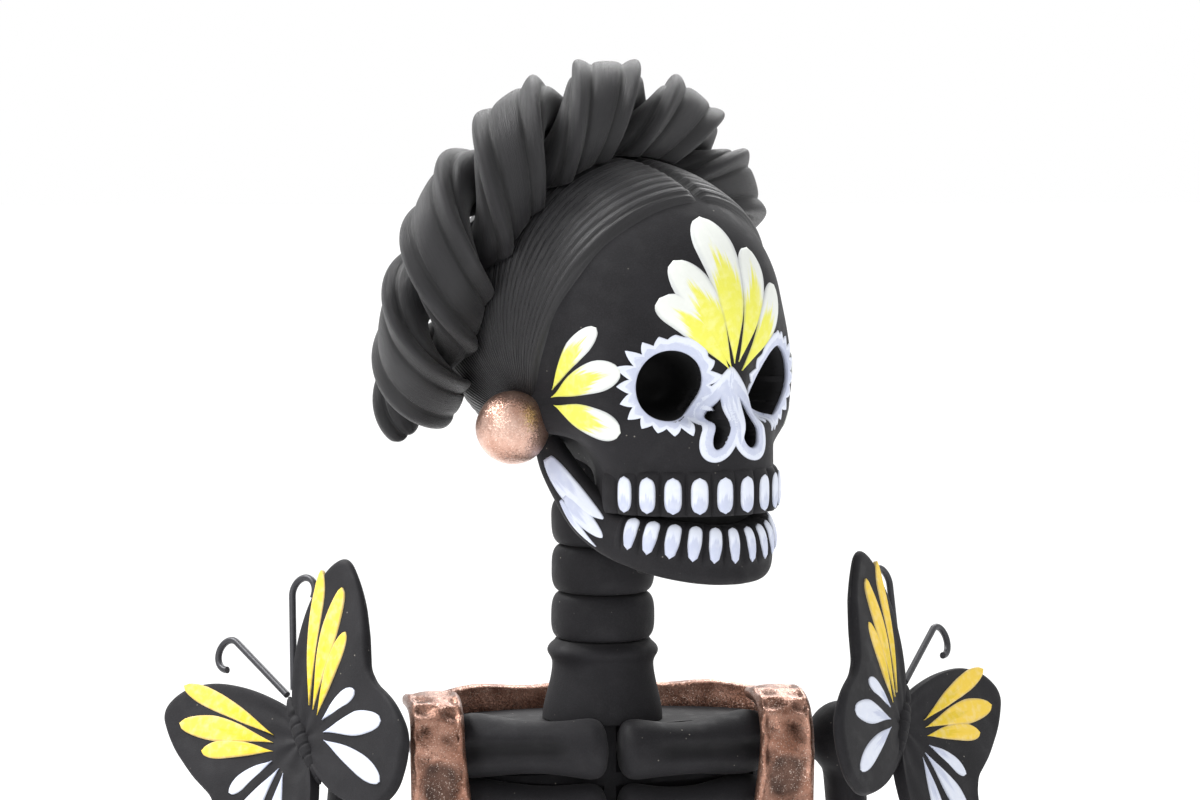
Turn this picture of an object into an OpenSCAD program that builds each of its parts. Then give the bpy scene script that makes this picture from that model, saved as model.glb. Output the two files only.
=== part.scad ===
// Catrina figure: a skeleton lady in a long flared dress, with a braided crown of hair
// and a butterfly on each shoulder.
// The origin is on the surface the hem stands on, under the neck. +Z is up, and the chest
// faces -Y. "Left" and "right" are the figure's own.

/* [Skirt] */
// Height of the waist above the surface that the hem stands on
skirt_h = 262; // [200:1:320]
// Radius of the hem
hem_r = 72; // [55:1:95]
// Radius of the waist
waist_r = 13; // [11:0.5:17]
// How far the hips swell past the plain flare
hip_swell = 9; // [4:0.5:14]
// Wall of the hollow skirt, measured level
skirt_wall = 3.5; // [2.5:0.5:6]
// Height of the copper band round the hem
hem_band_h = 13; // [8:1:24]
// Thickness of the copper band
hem_band_t = 2.6; // [1.5:0.1:4]

/* [Torso] */
// Height from the waist to the shoulder line
torso_h = 96; // [80:1:120]
// Half the width of the chest
chest_half_w = 27; // [23:0.5:32]
// How far a shoulder joint is beyond the side of the chest
shoulder_out = 8.5; // [6.5:0.5:16]
// Radius of one rib
rib_r = 4.2; // [3:0.1:5]
// Height from one rib to the next
rib_pitch = 9; // [8:0.1:12]
// Rib pairs below the collarbones
rib_pairs = 3; // [2:1:3]
// Thickness of the dress
dress_t = 2.2; // [1.4:0.1:3]
// Width of a shoulder strap
strap_w = 9.5; // [6:0.5:12]

/* [Neck] */
// Radius of a vertebra
neck_r = 7.5; // [6:0.1:9]
// Height of a vertebra
vertebra_h = 6.8; // [5:0.1:9]
// Number of loose vertebrae above the neck's root
vertebra_count = 4; // [3:1:4]
// Height of the neck's root above the shoulder line
neck_root_h = 8.5; // [6:0.5:12]

/* [Head] */
// Half the width of the cranium
cranium_a = 21; // [18:0.5:25]
// Half the length of the cranium, front to back
cranium_b = 28; // [24:0.5:33]
// Half the height of the cranium
cranium_c = 21.8; // [18:0.1:26]
// How far the head is turned to its own left as it stands
head_yaw = 32; // [-45:1:45]
// Radius of an eye socket
socket_r = 5; // [4:0.1:6]
// Depth of an eye socket
socket_depth = 9; // [6:0.5:12]
// Thickness of the hair on the scalp
hair_t = 0.9; // [0.6:0.1:1.6]
// Radius of an earring
earring_r = 5.2; // [3.5:0.1:6.5]

/* [Braid] */
// Half the width of the braid's arch, to the middle of the braid
braid_half_w = 25.5; // [22:0.5:31]
// Height of the braid's arch above its widest level, to the middle of the braid
braid_rise = 28.5; // [25:0.5:35]
// Half the thickness of one strand
strand_t = 4; // [3:0.1:4.8]
// Half the width of one strand
strand_w = 7.2; // [5.5:0.1:8.6]
// Full turns of a strand over the whole braid
braid_turns = 3.9; // [3:0.1:5]
// How far the top of the braid leans forward
braid_lean = 13; // [0:1:20]

/* [Butterflies] */
// Reach of a wing from the middle of the body
wing_l = 21; // [16:0.5:25]
// Thickness of a wing
wing_t = 1.8; // [1.2:0.1:2.4]
// Rise of each wing from flat
wing_rise = 10; // [5:1:20]
// How far a butterfly lies back from upright
fly_recline = 40; // [25:1:55]
// How far its back is turned outward
fly_turn = 35; // [20:1:45]
// How far its head leans outward
fly_lean = 19; // [0:1:30]
// Radius of a butterfly's body
fly_body_r = 1.65; // [1.3:0.05:2.1]
// Length of a butterfly's body
fly_body_l = 15; // [12:0.5:19]
// Diameter of the feelers and of the other thin wires
wire_d = 1; // [0.8:0.1:1.4]

/* [Arms] */
// Length of an upper arm
upper_arm_l = 72; // [56:1:90]
// Length of a forearm
forearm_l = 52; // [40:1:66]
// Radius of an arm bone's shaft
arm_r = 3.2; // [2.6:0.1:4]
// Radius of a finger
finger_r = 1.15; // [0.9:0.05:1.5]
// Radius of the steel pegs in the arms and of the rod across the shoulders
peg_r = 1; // [0.7:0.1:1.4]

/* [Fits] */
// Radius of the loose steel pin that the head turns on
pin_r = 1.5; // [1:0.1:2]
// Radial clearance of the pin in the neck and in the skull
pin_clearance = 0.05; // [0.02:0.01:0.1]
// Length of the pin inside the neck
pin_in_neck = 18; // [12:0.5:20]
// Length of the pin inside the skull
pin_in_skull = 14; // [8:0.5:20]
// Gap between pieces that lie against each other
seat_gap = 0.1; // [0.05:0.05:0.3]

/* [Hidden] */
$fn = 64;

shoulder_z = skirt_h + torso_h;
neck_top_z = shoulder_z + neck_root_h + vertebra_count * vertebra_h;
shoulder_half = chest_half_w + shoulder_out;
waist_top_r = skirt_r(skirt_h);
core_top_z = shoulder_z - 3;
neck_foot_r = neck_r + 1.5;

// The chest front: the ribs bend round a centre behind the breastbone, and come back by rib_back
rib_front = 10;
rib_side = chest_half_w - 4.6;
rib_back = 6.86;
rib_bend_r = (pow(rib_side, 2) + pow(rib_back, 2)) / (2 * rib_back);
rib_gap = 0.9;
back_depth = 5.6;
collarbone_drop = 6;
collarbone_r = rib_r + 0.2;
neckline_drop = collarbone_drop + (rib_pairs + 1) * rib_pitch - 3;
core_front = 7.5;
core_back = 10;
bust_half_w = chest_half_w - dress_t;
core_half_w = bust_half_w - 1.5;
bust_depth = 12;

// Head landmarks, from the seat on the neck: x to its left, y to its back, z up
cranium_y = -1.5;
cranium_z = cranium_c - 2.6;
socket_x = 0.45 * cranium_a;
socket_z = cranium_z - 0.38 * cranium_c;
ear_y = -5;
ear_z = cranium_z - 0.68 * cranium_c;
ear = [cranium_x(ear_y, ear_z), ear_y, ear_z];
earring_at = ear + [earring_r + seat_gap, 0, 0];
hair_edge_z = 4;
tooth_row_r = 12.6;
tooth_row_y = -17;
tooth_row_z = -7.2;
chin_z = -17.8;
braid_y = 5;
braid_z = cranium_z + 0.2;
braid_sweep = 250;
strand_offset = strand_t + seat_gap / 2;
braid_seat = 0.3;

// Arm landmarks for the left side, from the middle of the shoulder line
shoulder_joint = [shoulder_half, pin_r + peg_r + 0.2, -7];
shoulder_r = arm_r + 2;
elbow = shoulder_joint + upper_arm_l * unit([0.10, 0.10, -1]);
forearm_dir = unit([-0.16, -0.34, -0.92]);
elbow_r = arm_r + 1.3;
forearm_head_r = arm_r + 0.9;
wrist_r = arm_r - 0.5;
palm_r = 2;
peg_l = 6;
forearm_start = elbow + forearm_dir * (elbow_r + forearm_head_r + seat_gap);
wrist = forearm_start + forearm_dir * forearm_l;
hand_dir = unit([-0.12, -0.22, -1]);
palm_start = wrist + hand_dir * (wrist_r + palm_r + seat_gap);

// Left butterfly: the middle of its body, from the middle of the shoulder line
fly_at = shoulder_joint + [7, -5.5, 2];
fly_stem_dir = unit(fly_at - shoulder_joint);
feeler_l = 14;
feeler_hook_r = 2.2;
feeler_spread = 22;

CLAY = [0.09, 0.09, 0.095];
COPPER = [0.66, 0.42, 0.33];
STEEL = [0.6, 0.6, 0.62];

function unit(v) = v / norm(v);
function mirrored(p, side) = [side * p.x, p.y, p.z];

// Outer radius of the skirt at height z: a flare that steepens to the hem, and a swell at the hips
function skirt_r(z) = waist_r + (hem_r - waist_r) * pow(1 - z / skirt_h, 1.6)
    + hip_swell * exp(-pow((z / skirt_h - 0.82) / 0.153, 2));
function skirt_heights(from, to, steps) = [for (i = [0 : steps]) from + (to - from) * i / steps];

// The middle of a rib or collarbone, measured to the side by x
function bar_y(x) = rib_bend_r - rib_front - sqrt(pow(rib_bend_r, 2) - pow(x, 2));

// Half the width of the cranium at a depth y and height z
function cranium_x(y, z) = cranium_a
    * sqrt(1 - pow((y - cranium_y) / cranium_b, 2) - pow((z - cranium_z) / cranium_c, 2));

module aim(from, to) {
    v = to - from;
    translate(from) rotate([0, acos(v.z / norm(v)), atan2(v.y, v.x)]) children();
}

module bone(from, to, shaft, from_knob, to_knob) {
    aim(from, to) cylinder(r = shaft, h = norm(to - from));
    translate(from) sphere(from_knob);
    translate(to) sphere(to_knob);
}

// An upright oval disc, for hulls
module oval(rx, ry, y, z, h = 0.5) {
    translate([0, y, z]) scale([1, ry / rx, 1]) cylinder(r = rx, h = h, $fn = 32);
}

module on_shoulders() translate([0, 0, shoulder_z]) children();
module on_head() translate([0, 0, neck_top_z]) rotate([0, 0, head_yaw]) children();

// ---- dress ----

module skirt() {
    outer = [for (z = skirt_heights(0, skirt_h, 30)) [skirt_r(z), z]];
    inner = [for (z = skirt_heights(skirt_h - skirt_wall, 0, 30)) [skirt_r(z) - skirt_wall, z]];
    rod_r = pin_r;
    color(CLAY) rotate_extrude(convexity = 4)
        polygon(concat(outer, [[rod_r, skirt_h], [rod_r, skirt_h - skirt_wall]], inner));
}

module hem_band() {
    low = 3;
    outer = [for (z = skirt_heights(low, low + hem_band_h, 4)) [skirt_r(z) + hem_band_t, z]];
    inner = [for (z = skirt_heights(low + hem_band_h, low, 4)) [skirt_r(z) + seat_gap, z]];
    color(COPPER) rotate_extrude(convexity = 4) polygon(concat(outer, inner));
}

module waist_sash() {
    inner_r = waist_top_r + dress_t + 0.6;
    color(COPPER) rotate_extrude(convexity = 4)
        polygon([[waist_top_r + seat_gap, skirt_h - 0.2], [inner_r + 1.2, skirt_h - 3.4],
                 [inner_r + 2.6, skirt_h + 0.5], [inner_r + 1.6, skirt_h + 4],
                 [inner_r + 0.4, skirt_h + 4], [inner_r, skirt_h + 0.4],
                 [waist_top_r + seat_gap, skirt_h + 0.2]]);
}

// The bust, from the waist to the neckline, grown by a thickness
module bust(grow, below = 0, above = 0) {
    waist = waist_top_r - dress_t + grow;
    hull() {
        oval(waist, waist, 0, skirt_h - below);
        oval(bust_half_w + grow, bust_depth + grow, 0, shoulder_z - neckline_drop - 14);
        oval(bust_half_w - 1 + grow, bust_depth - 0.5 + grow, 0, shoulder_z - neckline_drop - 0.5 + above);
    }
}

module bodice() {
    color(COPPER) difference() {
        bust(dress_t);
        bust(seat_gap, 1, 1);
    }
}

module torso_core() {
    chest_low = shoulder_z - neckline_drop - 4;
    chest_ry = (core_front + core_back) / 2;
    color(CLAY) difference() {
        union() {
            bust(0);
            translate([0, core_back - chest_ry, chest_low]) scale([core_half_w, chest_ry, 1])
                cylinder(r = 1, h = core_top_z - chest_low);
        }
        translate([0, 0, skirt_h - 1]) cylinder(r = pin_r, h = torso_h + 10);
        translate([-shoulder_half, 0, 0]) shoulder_rod_shape();
        for (side = [-1, 1]) {
            rib_shape(side, collarbone_drop, collarbone_r + seat_gap);
            for (i = [1 : rib_pairs]) rib_shape(side, collarbone_drop + i * rib_pitch, rib_r + seat_gap);
        }
    }
}

// The rod across the shoulders runs from the middle of one shoulder joint to the other's
module shoulder_rod_shape() {
    translate([0, shoulder_joint.y, shoulder_z + shoulder_joint.z]) rotate([0, 90, 0])
        cylinder(r = peg_r, h = 2 * shoulder_half);
}

module shoulder_rod() {
    color(STEEL) translate([-shoulder_half, 0, 0]) shoulder_rod_shape();
}

// The back of the dress, from the neckline's level up to the shoulder line
module dress_back() {
    outer_ry = core_back + dress_t + 1;
    low = shoulder_z - neckline_drop + seat_gap;
    front_cut = core_back - back_depth;
    color(COPPER) translate([0, 0, low]) difference() {
        scale([chest_half_w + 1, outer_ry, 1]) cylinder(r = 1, h = shoulder_z + 0.8 - low);
        translate([0, 0, -1]) scale([chest_half_w + 1 - dress_t, outer_ry - dress_t, 1])
            cylinder(r = 1, h = neckline_drop + 4);
        translate([-60, front_cut - 60, -1]) cube([120, 60, neckline_drop + 4]);
    }
}

// One strap over the shoulder, from the bodice, straight up the front of the ribs, round the
// collarbone and back to the back of the dress
module strap(side) {
    lean_in = 2.2;
    middle_x = chest_half_w - 2.2;
    half_t = dress_t / 2;
    front_y = bar_y(middle_x - lean_in - strap_w / 2) - collarbone_r - seat_gap - half_t;
    turn_r = (collarbone_r + seat_gap + half_t) / cos(22.5);
    turn_y = front_y + turn_r;
    path = [[lean_in, front_y, -neckline_drop + seat_gap + half_t],
            [lean_in / 2, front_y, -neckline_drop * 0.6],
            for (a = [0, 45, 90]) [0, turn_y - turn_r * cos(a), turn_r * sin(a) - collarbone_drop],
            [0, core_back - back_depth - seat_gap - half_t, 0]];
    color(COPPER) on_shoulders() for (i = [0 : len(path) - 2])
        hull() for (p = [path[i], path[i + 1]])
            translate([side * (middle_x - p.x), p.y, p.z])
                rotate([0, 90, 0]) cylinder(r = half_t, h = strap_w, center = true, $fn = 16);
}

// ---- bones of the chest and neck ----

// A bar that runs from the breastbone to the side, bent back with the chest
module rib_shape(side, drop, radius) {
    gap_a = asin(rib_gap / rib_bend_r);
    end_a = asin(rib_side / rib_bend_r);
    start = side > 0 ? 270 + gap_a : 270 - end_a;
    translate([0, rib_bend_r - rib_front, shoulder_z - drop]) rotate([0, 0, start])
        rotate_extrude(angle = end_a - gap_a) translate([rib_bend_r, 0]) circle(radius, $fn = 32);
}

module rib(side, index) {
    color(CLAY) rib_shape(side, collarbone_drop + index * rib_pitch, rib_r);
}

// The collarbones are notched round the foot of the neck
module collarbone(side) {
    color(CLAY) difference() {
        rib_shape(side, collarbone_drop, collarbone_r);
        translate([0, 0, core_top_z]) cylinder(r = neck_foot_r + seat_gap, h = 10);
    }
}

module neck_root() {
    low = core_top_z;
    foot_h = 1.5;
    color(CLAY) difference() {
        union() {
            translate([0, 0, low + seat_gap]) cylinder(r = neck_foot_r, h = foot_h);
            translate([0, 0, low + foot_h]) cylinder(r1 = neck_foot_r, r2 = neck_r, h = neck_root_h);
            translate([0, 0, low + foot_h + neck_root_h])
                cylinder(r1 = neck_r, r2 = neck_r - 1.2, h = foot_h);
        }
        translate([0, 0, low - 1]) cylinder(r = pin_r, h = neck_root_h + 6);
    }
}

module vertebra(index) {
    bore = index == 1 ? pin_r : pin_r + pin_clearance;
    edge = 1.3;
    color(CLAY) translate([0, 0, shoulder_z + neck_root_h + (index - 1) * vertebra_h]) rotate_extrude()
        polygon([[bore, 0], [neck_r - edge, 0], [neck_r, edge], [neck_r, vertebra_h - edge],
                 [neck_r - edge, vertebra_h], [bore, vertebra_h]]);
}

module spine_rod() {
    low = skirt_h - 24;
    high = neck_top_z - pin_in_neck - seat_gap;
    color(STEEL) translate([0, 0, low]) cylinder(r = pin_r, h = high - low);
}

module head_pin() {
    color(STEEL) translate([0, 0, neck_top_z - pin_in_neck])
        cylinder(r = pin_r, h = pin_in_neck + pin_in_skull);
}

// ---- head ----

module cranium(grow = 0) {
    translate([0, cranium_y, cranium_z]) scale([cranium_a + grow, cranium_b + grow, cranium_c + grow])
        rotate([0, 0, -90]) sphere(1, $fn = 48);
}

// The short wire that holds an earring, from inside the skull to the middle of the ball
module earring_pin_shape(side) {
    deep = [4, 0, 0];
    aim(mirrored(ear - deep, side), mirrored(earring_at, side))
        cylinder(r = wire_d / 2, h = norm(earring_at - ear + deep));
}

// The room for an earring: its ball is pressed into the side of the head
module earring_seat(side) {
    translate(mirrored(earring_at, side)) sphere(earring_r + seat_gap);
    earring_pin_shape(side);
}

// Cheeks, upper jaw and the base of the skull, in one form
module face_form() {
    hull() {
        for (side = [-1, 1]) {
            translate([side * 0.62 * cranium_a, -14, 4.8]) sphere(4.5, $fn = 32);
            translate([side * 6.5, -20.8, -1]) sphere(5.5, $fn = 32);
            translate([side * 5, -21, 11]) sphere(6.5, $fn = 32);
        }
        translate([0, tooth_row_y, tooth_row_z]) cylinder(r = tooth_row_r, h = 6, $fn = 32);
        translate([0, -6, 0]) sphere(6, $fn = 32);
    }
}

module skull() {
    color(CLAY) on_head() difference() {
        union() {
            cranium();
            face_form();
        }
        for (side = [-1, 1]) {
            translate([side * socket_x, -26, socket_z]) rotate([90, 0, side * 20])
                translate([0, 0, -socket_depth]) cylinder(r = socket_r, h = 20);
            translate([side * 1.9, -27, 5.8]) scale([1, 1, 2.4]) rotate([90, 0, side * 12])
                translate([0, 0, -3]) cylinder(r = 1.4, h = 12);
            earring_seat(side);
        }
        translate([0, 0, seat_gap - 30]) cylinder(r = neck_r + 1.4, h = 30);
        translate([0, 0, -1]) cylinder(r = pin_r + pin_clearance, h = pin_in_skull + 1 + seat_gap);
    }
}

// The jaw is a bow round the chin, and a branch up each side to the ear
module lower_jaw() {
    top_z = tooth_row_z - 1;
    color(CLAY) on_head() difference() {
        union() {
            hull() {
                translate([0, tooth_row_y, top_z - 4.6]) cylinder(r = tooth_row_r - 0.4, h = 4.6, $fn = 24);
                translate([0, tooth_row_y - 5.5, chin_z]) cylinder(r = 6.5, h = 3, $fn = 24);
                for (side = [-1, 1]) translate([side * 11, -9, -7.8]) sphere(2.6, $fn = 24);
            }
            for (side = [-1, 1]) hull() {
                translate([side * 12, -9.5, -7.4]) sphere(2.6, $fn = 24);
                translate([side * 13.2, -4, 1]) sphere(2.4, $fn = 24);
            }
        }
        hull() {
            translate([0, tooth_row_y + 1.5, -40]) cylinder(r = tooth_row_r - 4, h = 60, $fn = 24);
            translate([0, 2, -40]) cylinder(r = neck_r + 2, h = 60, $fn = 24);
        }
    }
}

// The hair lies on the scalp behind a line that leans back from the brow to the ears
module hair_cap() {
    color(CLAY) on_head() intersection() {
        difference() {
            cranium(hair_t);
            cranium(0);
            face_form();
            for (side = [-1, 1]) earring_seat(side);
        }
        translate([0, -0.72 * cranium_b, cranium_z + 0.66 * cranium_c]) rotate([24, 0, 0])
            translate([-50, 0, -60]) cube([100, 100, 120]);
        translate([-50, -50, hair_edge_z]) cube([100, 100, 100]);
    }
}

// The middle line of the braid, s from 0 to 1, is an arch over the head with its ends tucked
// back. A strand's section turns about that line, and the two strands lie back to back.
function braid_angle(s) = 90 + braid_sweep * (s - 0.5);
function braid_taper(s) = 0.7 + 0.3 * pow(sin(180 * s), 0.4);
function braid_middle(s) =
    [braid_half_w * cos(braid_angle(s)), 7 * pow(abs(2 * s - 1), 5), braid_rise * sin(braid_angle(s))];
function strand_point(s, phase, b) =
    let (a = braid_angle(s), turn = phase - 360 * braid_turns * s, outward = [cos(a), 0, sin(a)],
         e1 = cos(turn) * outward + [0, sin(turn), 0], e2 = -sin(turn) * outward + [0, cos(turn), 0])
    braid_middle(s) + braid_taper(s) * ((strand_offset + strand_t * cos(b)) * e1 + strand_w * sin(b) * e2);

// The braid leans forward, and is pressed flat where it meets the hair
function leaned(p) = [p.x, braid_y + p.y * cos(braid_lean) - p.z * sin(braid_lean),
                      braid_z + p.y * sin(braid_lean) + p.z * cos(braid_lean)];
function pressed(p) =
    let (grow = hair_t + braid_seat, centre = [0, cranium_y, cranium_z], d = p - centre,
         depth = norm([d.x / (cranium_a + grow), d.y / (cranium_b + grow), d.z / (cranium_c + grow)]))
    depth < 1 ? centre + d / depth : p;

module tube(rings, sides) {
    last = len(rings) / sides - 1;
    faces = concat(
        [[for (k = [0 : sides - 1]) k]],
        [for (i = [0 : last - 1], k = [0 : sides - 1])
            let (a = i * sides + k, b = i * sides + (k + 1) % sides)
            each [[a, a + sides, b + sides], [a, b + sides, b]]],
        [[for (k = [sides - 1 : -1 : 0]) last * sides + k]]);
    polyhedron(rings, faces, convexity = 6);
}

// The rings are close enough together that the two strands' flat facets don't meet
module braid_strand(phase) {
    rings = ceil(23 * braid_turns);
    sides = 14;
    points = [for (i = [0 : rings], k = [0 : sides - 1])
        pressed(leaned(strand_point(i / rings, phase, 360 * k / sides)))];
    color(CLAY) on_head() tube(points, sides);
}

module earring(side) {
    color(COPPER) on_head() difference() {
        translate(mirrored(earring_at, side)) sphere(earring_r);
        earring_pin_shape(side);
    }
}

module earring_pin(side) {
    color(STEEL) on_head() earring_pin_shape(side);
}

// ---- arms ----

module arm_peg(at, dir) {
    aim(at - dir * peg_l / 2, at + dir * peg_l / 2) cylinder(r = peg_r, h = peg_l);
}

// The pegs sit where two bones meet: half their length in each
module elbow_peg_shape(side) {
    arm_peg(mirrored(elbow + forearm_dir * (elbow_r + seat_gap / 2), side), mirrored(forearm_dir, side));
}

module wrist_peg_shape(side) {
    arm_peg(mirrored(wrist + hand_dir * (wrist_r + seat_gap / 2), side), mirrored(hand_dir, side));
}

module elbow_peg(side) {
    color(STEEL) on_shoulders() elbow_peg_shape(side);
}

module wrist_peg(side) {
    color(STEEL) on_shoulders() wrist_peg_shape(side);
}

module upper_arm(side) {
    color(CLAY) difference() {
        on_shoulders()
            bone(mirrored(shoulder_joint, side), mirrored(elbow, side), arm_r, shoulder_r, elbow_r);
        translate([-shoulder_half, 0, 0]) shoulder_rod_shape();
        on_shoulders() elbow_peg_shape(side);
        butterfly_stem_shape(side);
    }
}

// Two bones side by side between one knob at the elbow and one at the wrist
module forearm(side) {
    start = mirrored(forearm_start, side);
    end = mirrored(wrist, side);
    shaft_r = arm_r * 0.5;
    apart = [shaft_r * 0.8, 0, 0];
    color(CLAY) on_shoulders() difference() {
        union() {
            translate(start) sphere(forearm_head_r);
            translate(end) sphere(wrist_r);
            for (way = [-1, 1])
                aim(start + way * apart, end + way * apart) cylinder(r = shaft_r, h = forearm_l);
        }
        elbow_peg_shape(side);
        wrist_peg_shape(side);
    }
}

module finger(side, from, length, spread) {
    knuckle = from + length * 0.5 * unit(hand_dir + [spread, -0.10, 0]);
    tip = knuckle + length * 0.5 * unit(hand_dir + [spread * 0.6 - 0.25, 0.10, 0]);
    bone(mirrored(from, side), mirrored(knuckle, side), finger_r, finger_r + 0.35, finger_r + 0.3);
    bone(mirrored(knuckle, side), mirrored(tip, side), finger_r * 0.9, finger_r * 0.95, finger_r * 1.05);
}

module hand(side) {
    palm_end = palm_start + hand_dir * 10;
    across = unit(cross(hand_dir, [1, 0.4, 0]));
    color(CLAY) on_shoulders() difference() {
        union() {
            hull() {
                translate(mirrored(palm_start, side)) sphere(palm_r, $fn = 24);
                for (k = [-1, 1])
                    translate(mirrored(palm_end + across * k * 3.6, side)) sphere(1.7, $fn = 24);
            }
            for (k = [0 : 3])
                finger(side, palm_end + across * (k - 1.5) * 2.5 + hand_dir * 1, 17 - abs(k - 1.2) * 1.6,
                    (k - 1.5) * 0.06);
            finger(side, palm_start + across * -2.2 + hand_dir * 2, 12, -0.35);
        }
        wrist_peg_shape(side);
    }
}

// ---- butterflies ----

// Puts a butterfly drawn flat, with its head towards +y, its back towards +z and its outer wing
// on +x, on the left shoulder, and mirrors it for the right
module on_butterfly(side) {
    on_shoulders() mirror([side < 0 ? 1 : 0, 0, 0]) translate(fly_at)
        rotate([0, fly_lean, 0]) rotate([90 - fly_recline, 0, 0]) rotate([0, fly_turn, 0]) children();
}

// One wing drawn with its tip on +x: a long forewing and a round hindwing.
// Each place is [x, y, radius] as a share of the wing's reach.
module wing_outline() {
    forewing = [[0.12, 0.12, 0.14], [0.66, 0.80, 0.13], [0.82, 0.74, 0.16], [0.76, 0.30, 0.14]];
    hindwing = [[0.12, -0.12, 0.14], [0.64, -0.04, 0.15], [0.74, -0.48, 0.17], [0.52, -0.70, 0.17]];
    for (lobe = [forewing, hindwing])
        hull() for (c = lobe) translate(wing_l * [c.x, c.y]) circle(wing_l * c.z, $fn = 32);
}

module butterfly_wing(side, way) {
    color(CLAY) on_butterfly(side) mirror([way > 0 ? 0 : 1, 0, 0])
        translate([fly_body_r + seat_gap, 0, 0]) rotate([0, -wing_rise, 0])
            translate([-fly_body_r, 0, -wing_t / 2]) linear_extrude(height = wing_t) intersection() {
                wing_outline();
                translate([fly_body_r, -wing_l]) square([2 * wing_l, 2 * wing_l]);
            }
}

module butterfly_body(side) {
    color(CLAY) difference() {
        on_butterfly(side) difference() {
            union() {
                translate([0, -fly_body_l / 2, 0]) rotate([-90, 0, 0])
                    cylinder(r = fly_body_r, h = fly_body_l);
                translate([0, fly_body_l / 2 + 0.6, 0]) sphere(fly_body_r * 1.15);
                translate([0, -fly_body_l / 2, 0]) sphere(fly_body_r);
            }
            for (way = [-1, 1]) on_feeler(way) cylinder(r = wire_d / 2, h = feeler_l);
        }
        butterfly_stem_shape(side);
    }
}

// A feeler starts inside the head, and ends in a hook that curls outward
module on_feeler(way) {
    translate([way * 0.7, fly_body_l / 2 + 1, 0]) rotate([0, 0, -way * feeler_spread]) rotate([-90, 0, 0])
        children();
}

module feeler(way) {
    on_feeler(way) {
        cylinder(r = wire_d / 2, h = feeler_l, $fn = 24);
        translate([way * feeler_hook_r, 0, feeler_l]) rotate([90, 0, 0])
            mirror([way > 0 ? 1 : 0, 0, 0]) rotate_extrude(angle = 215)
                translate([feeler_hook_r, 0]) circle(wire_d / 2, $fn = 24);
    }
}

module butterfly_feelers(side) {
    color(STEEL) on_butterfly(side) for (way = [-1, 1]) feeler(way);
}

// The wire that carries a butterfly, from inside the shoulder's knob to the middle of its body
module butterfly_stem_shape(side) {
    from = shoulder_joint + (shoulder_r - 2.7) * fly_stem_dir;
    on_shoulders() aim(mirrored(from, side), mirrored(fly_at, side))
        cylinder(r = wire_d / 2, h = norm(fly_at - from));
}

module butterfly_stem(side) {
    color(STEEL) butterfly_stem_shape(side);
}

skirt();
hem_band();
waist_sash();
torso_core();
bodice();
dress_back();
shoulder_rod();
neck_root();
for (i = [1 : vertebra_count])
    vertebra(i);
spine_rod();
head_pin();
skull();
lower_jaw();
hair_cap();
braid_strand(0);  // braid_strand_a
braid_strand(180);  // braid_strand_b
for (side = [-1, 1]) {
    name = side < 0 ? "right" : "left";
    strap(side);
    collarbone(side);
    for (i = [1 : rib_pairs])
        rib(side, i);
    earring(side);
    earring_pin(side);
    upper_arm(side);
    elbow_peg(side);
    forearm(side);
    wrist_peg(side);
    hand(side);
    butterfly_body(side);
    butterfly_wing(side, -1);
    butterfly_wing(side, 1);
    butterfly_feelers(side);
    butterfly_stem(side);
}
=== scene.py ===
# %% [markdown]
# # A catrina with a braided crown
# A skeleton lady modelled in black clay: a skull with painted petals, a twisted crown of hair,
# a copper dress and a butterfly on each shoulder. This lesson builds what is seen of her, piece
# by piece, around a finished CAD frame that fixes every size and place.

import math

import bpy
import numpy as np
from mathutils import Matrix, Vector


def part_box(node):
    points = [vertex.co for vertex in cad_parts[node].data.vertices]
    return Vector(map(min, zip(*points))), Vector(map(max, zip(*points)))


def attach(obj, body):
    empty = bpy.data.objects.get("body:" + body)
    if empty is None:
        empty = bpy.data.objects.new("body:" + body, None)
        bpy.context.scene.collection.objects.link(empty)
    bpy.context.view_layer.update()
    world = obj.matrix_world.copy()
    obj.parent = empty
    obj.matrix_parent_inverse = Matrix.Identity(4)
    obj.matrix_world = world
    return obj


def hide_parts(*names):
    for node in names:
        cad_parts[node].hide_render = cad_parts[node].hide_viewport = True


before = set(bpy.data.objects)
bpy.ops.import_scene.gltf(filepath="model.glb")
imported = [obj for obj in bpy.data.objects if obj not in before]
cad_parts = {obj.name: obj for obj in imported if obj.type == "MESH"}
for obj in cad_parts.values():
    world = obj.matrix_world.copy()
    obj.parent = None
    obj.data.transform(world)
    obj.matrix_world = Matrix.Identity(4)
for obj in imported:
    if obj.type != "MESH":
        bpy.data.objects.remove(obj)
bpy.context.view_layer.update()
MM = 1000.0  # millimetres in a metre

# %% [markdown]
# ## Where things are
# Each size that follows is in millimetres. Places come from the frame's own boxes, so a piece
# that is built here lands where its CAD node is. The head is turned, so it gets axes of its own:
# x to its left, y to its back and z up, starting where the neck ends.

# %% Read places from the frame
def box(node):
    """The two corners of a CAD node's box, in millimetres."""
    low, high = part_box(node)
    return np.array(low) * MM, np.array(high) * MM


def middle(node):
    """The middle of a CAD node's box: the mean of its two corners."""
    return sum(box(node)) / 2


def xyz(x, y, z):
    """Three tables of numbers, spread to one shape and joined as points or vectors."""
    return np.stack(np.broadcast_arrays(x, y, z), -1)


# What comes in pairs is made for both sides: the figure's right is at minus x.
both_sides = ((-1, "right"), (1, "left"))
shoulder_over_rod = 6.0
ear_line = middle("earring_left") - middle("earring_right")
head_turn = math.atan2(ear_line[1], ear_line[0])
neck_top = box("vertebra_4")[1][2]
shoulder_z = box("shoulder_rod")[1][2] + shoulder_over_rod
waist_z = box("skirt")[1][2]
print("head turned by", round(math.degrees(head_turn), 1), "degrees")
print("shoulder line at", round(shoulder_z, 1), "mm, waist at", round(waist_z, 1), "mm")


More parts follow.
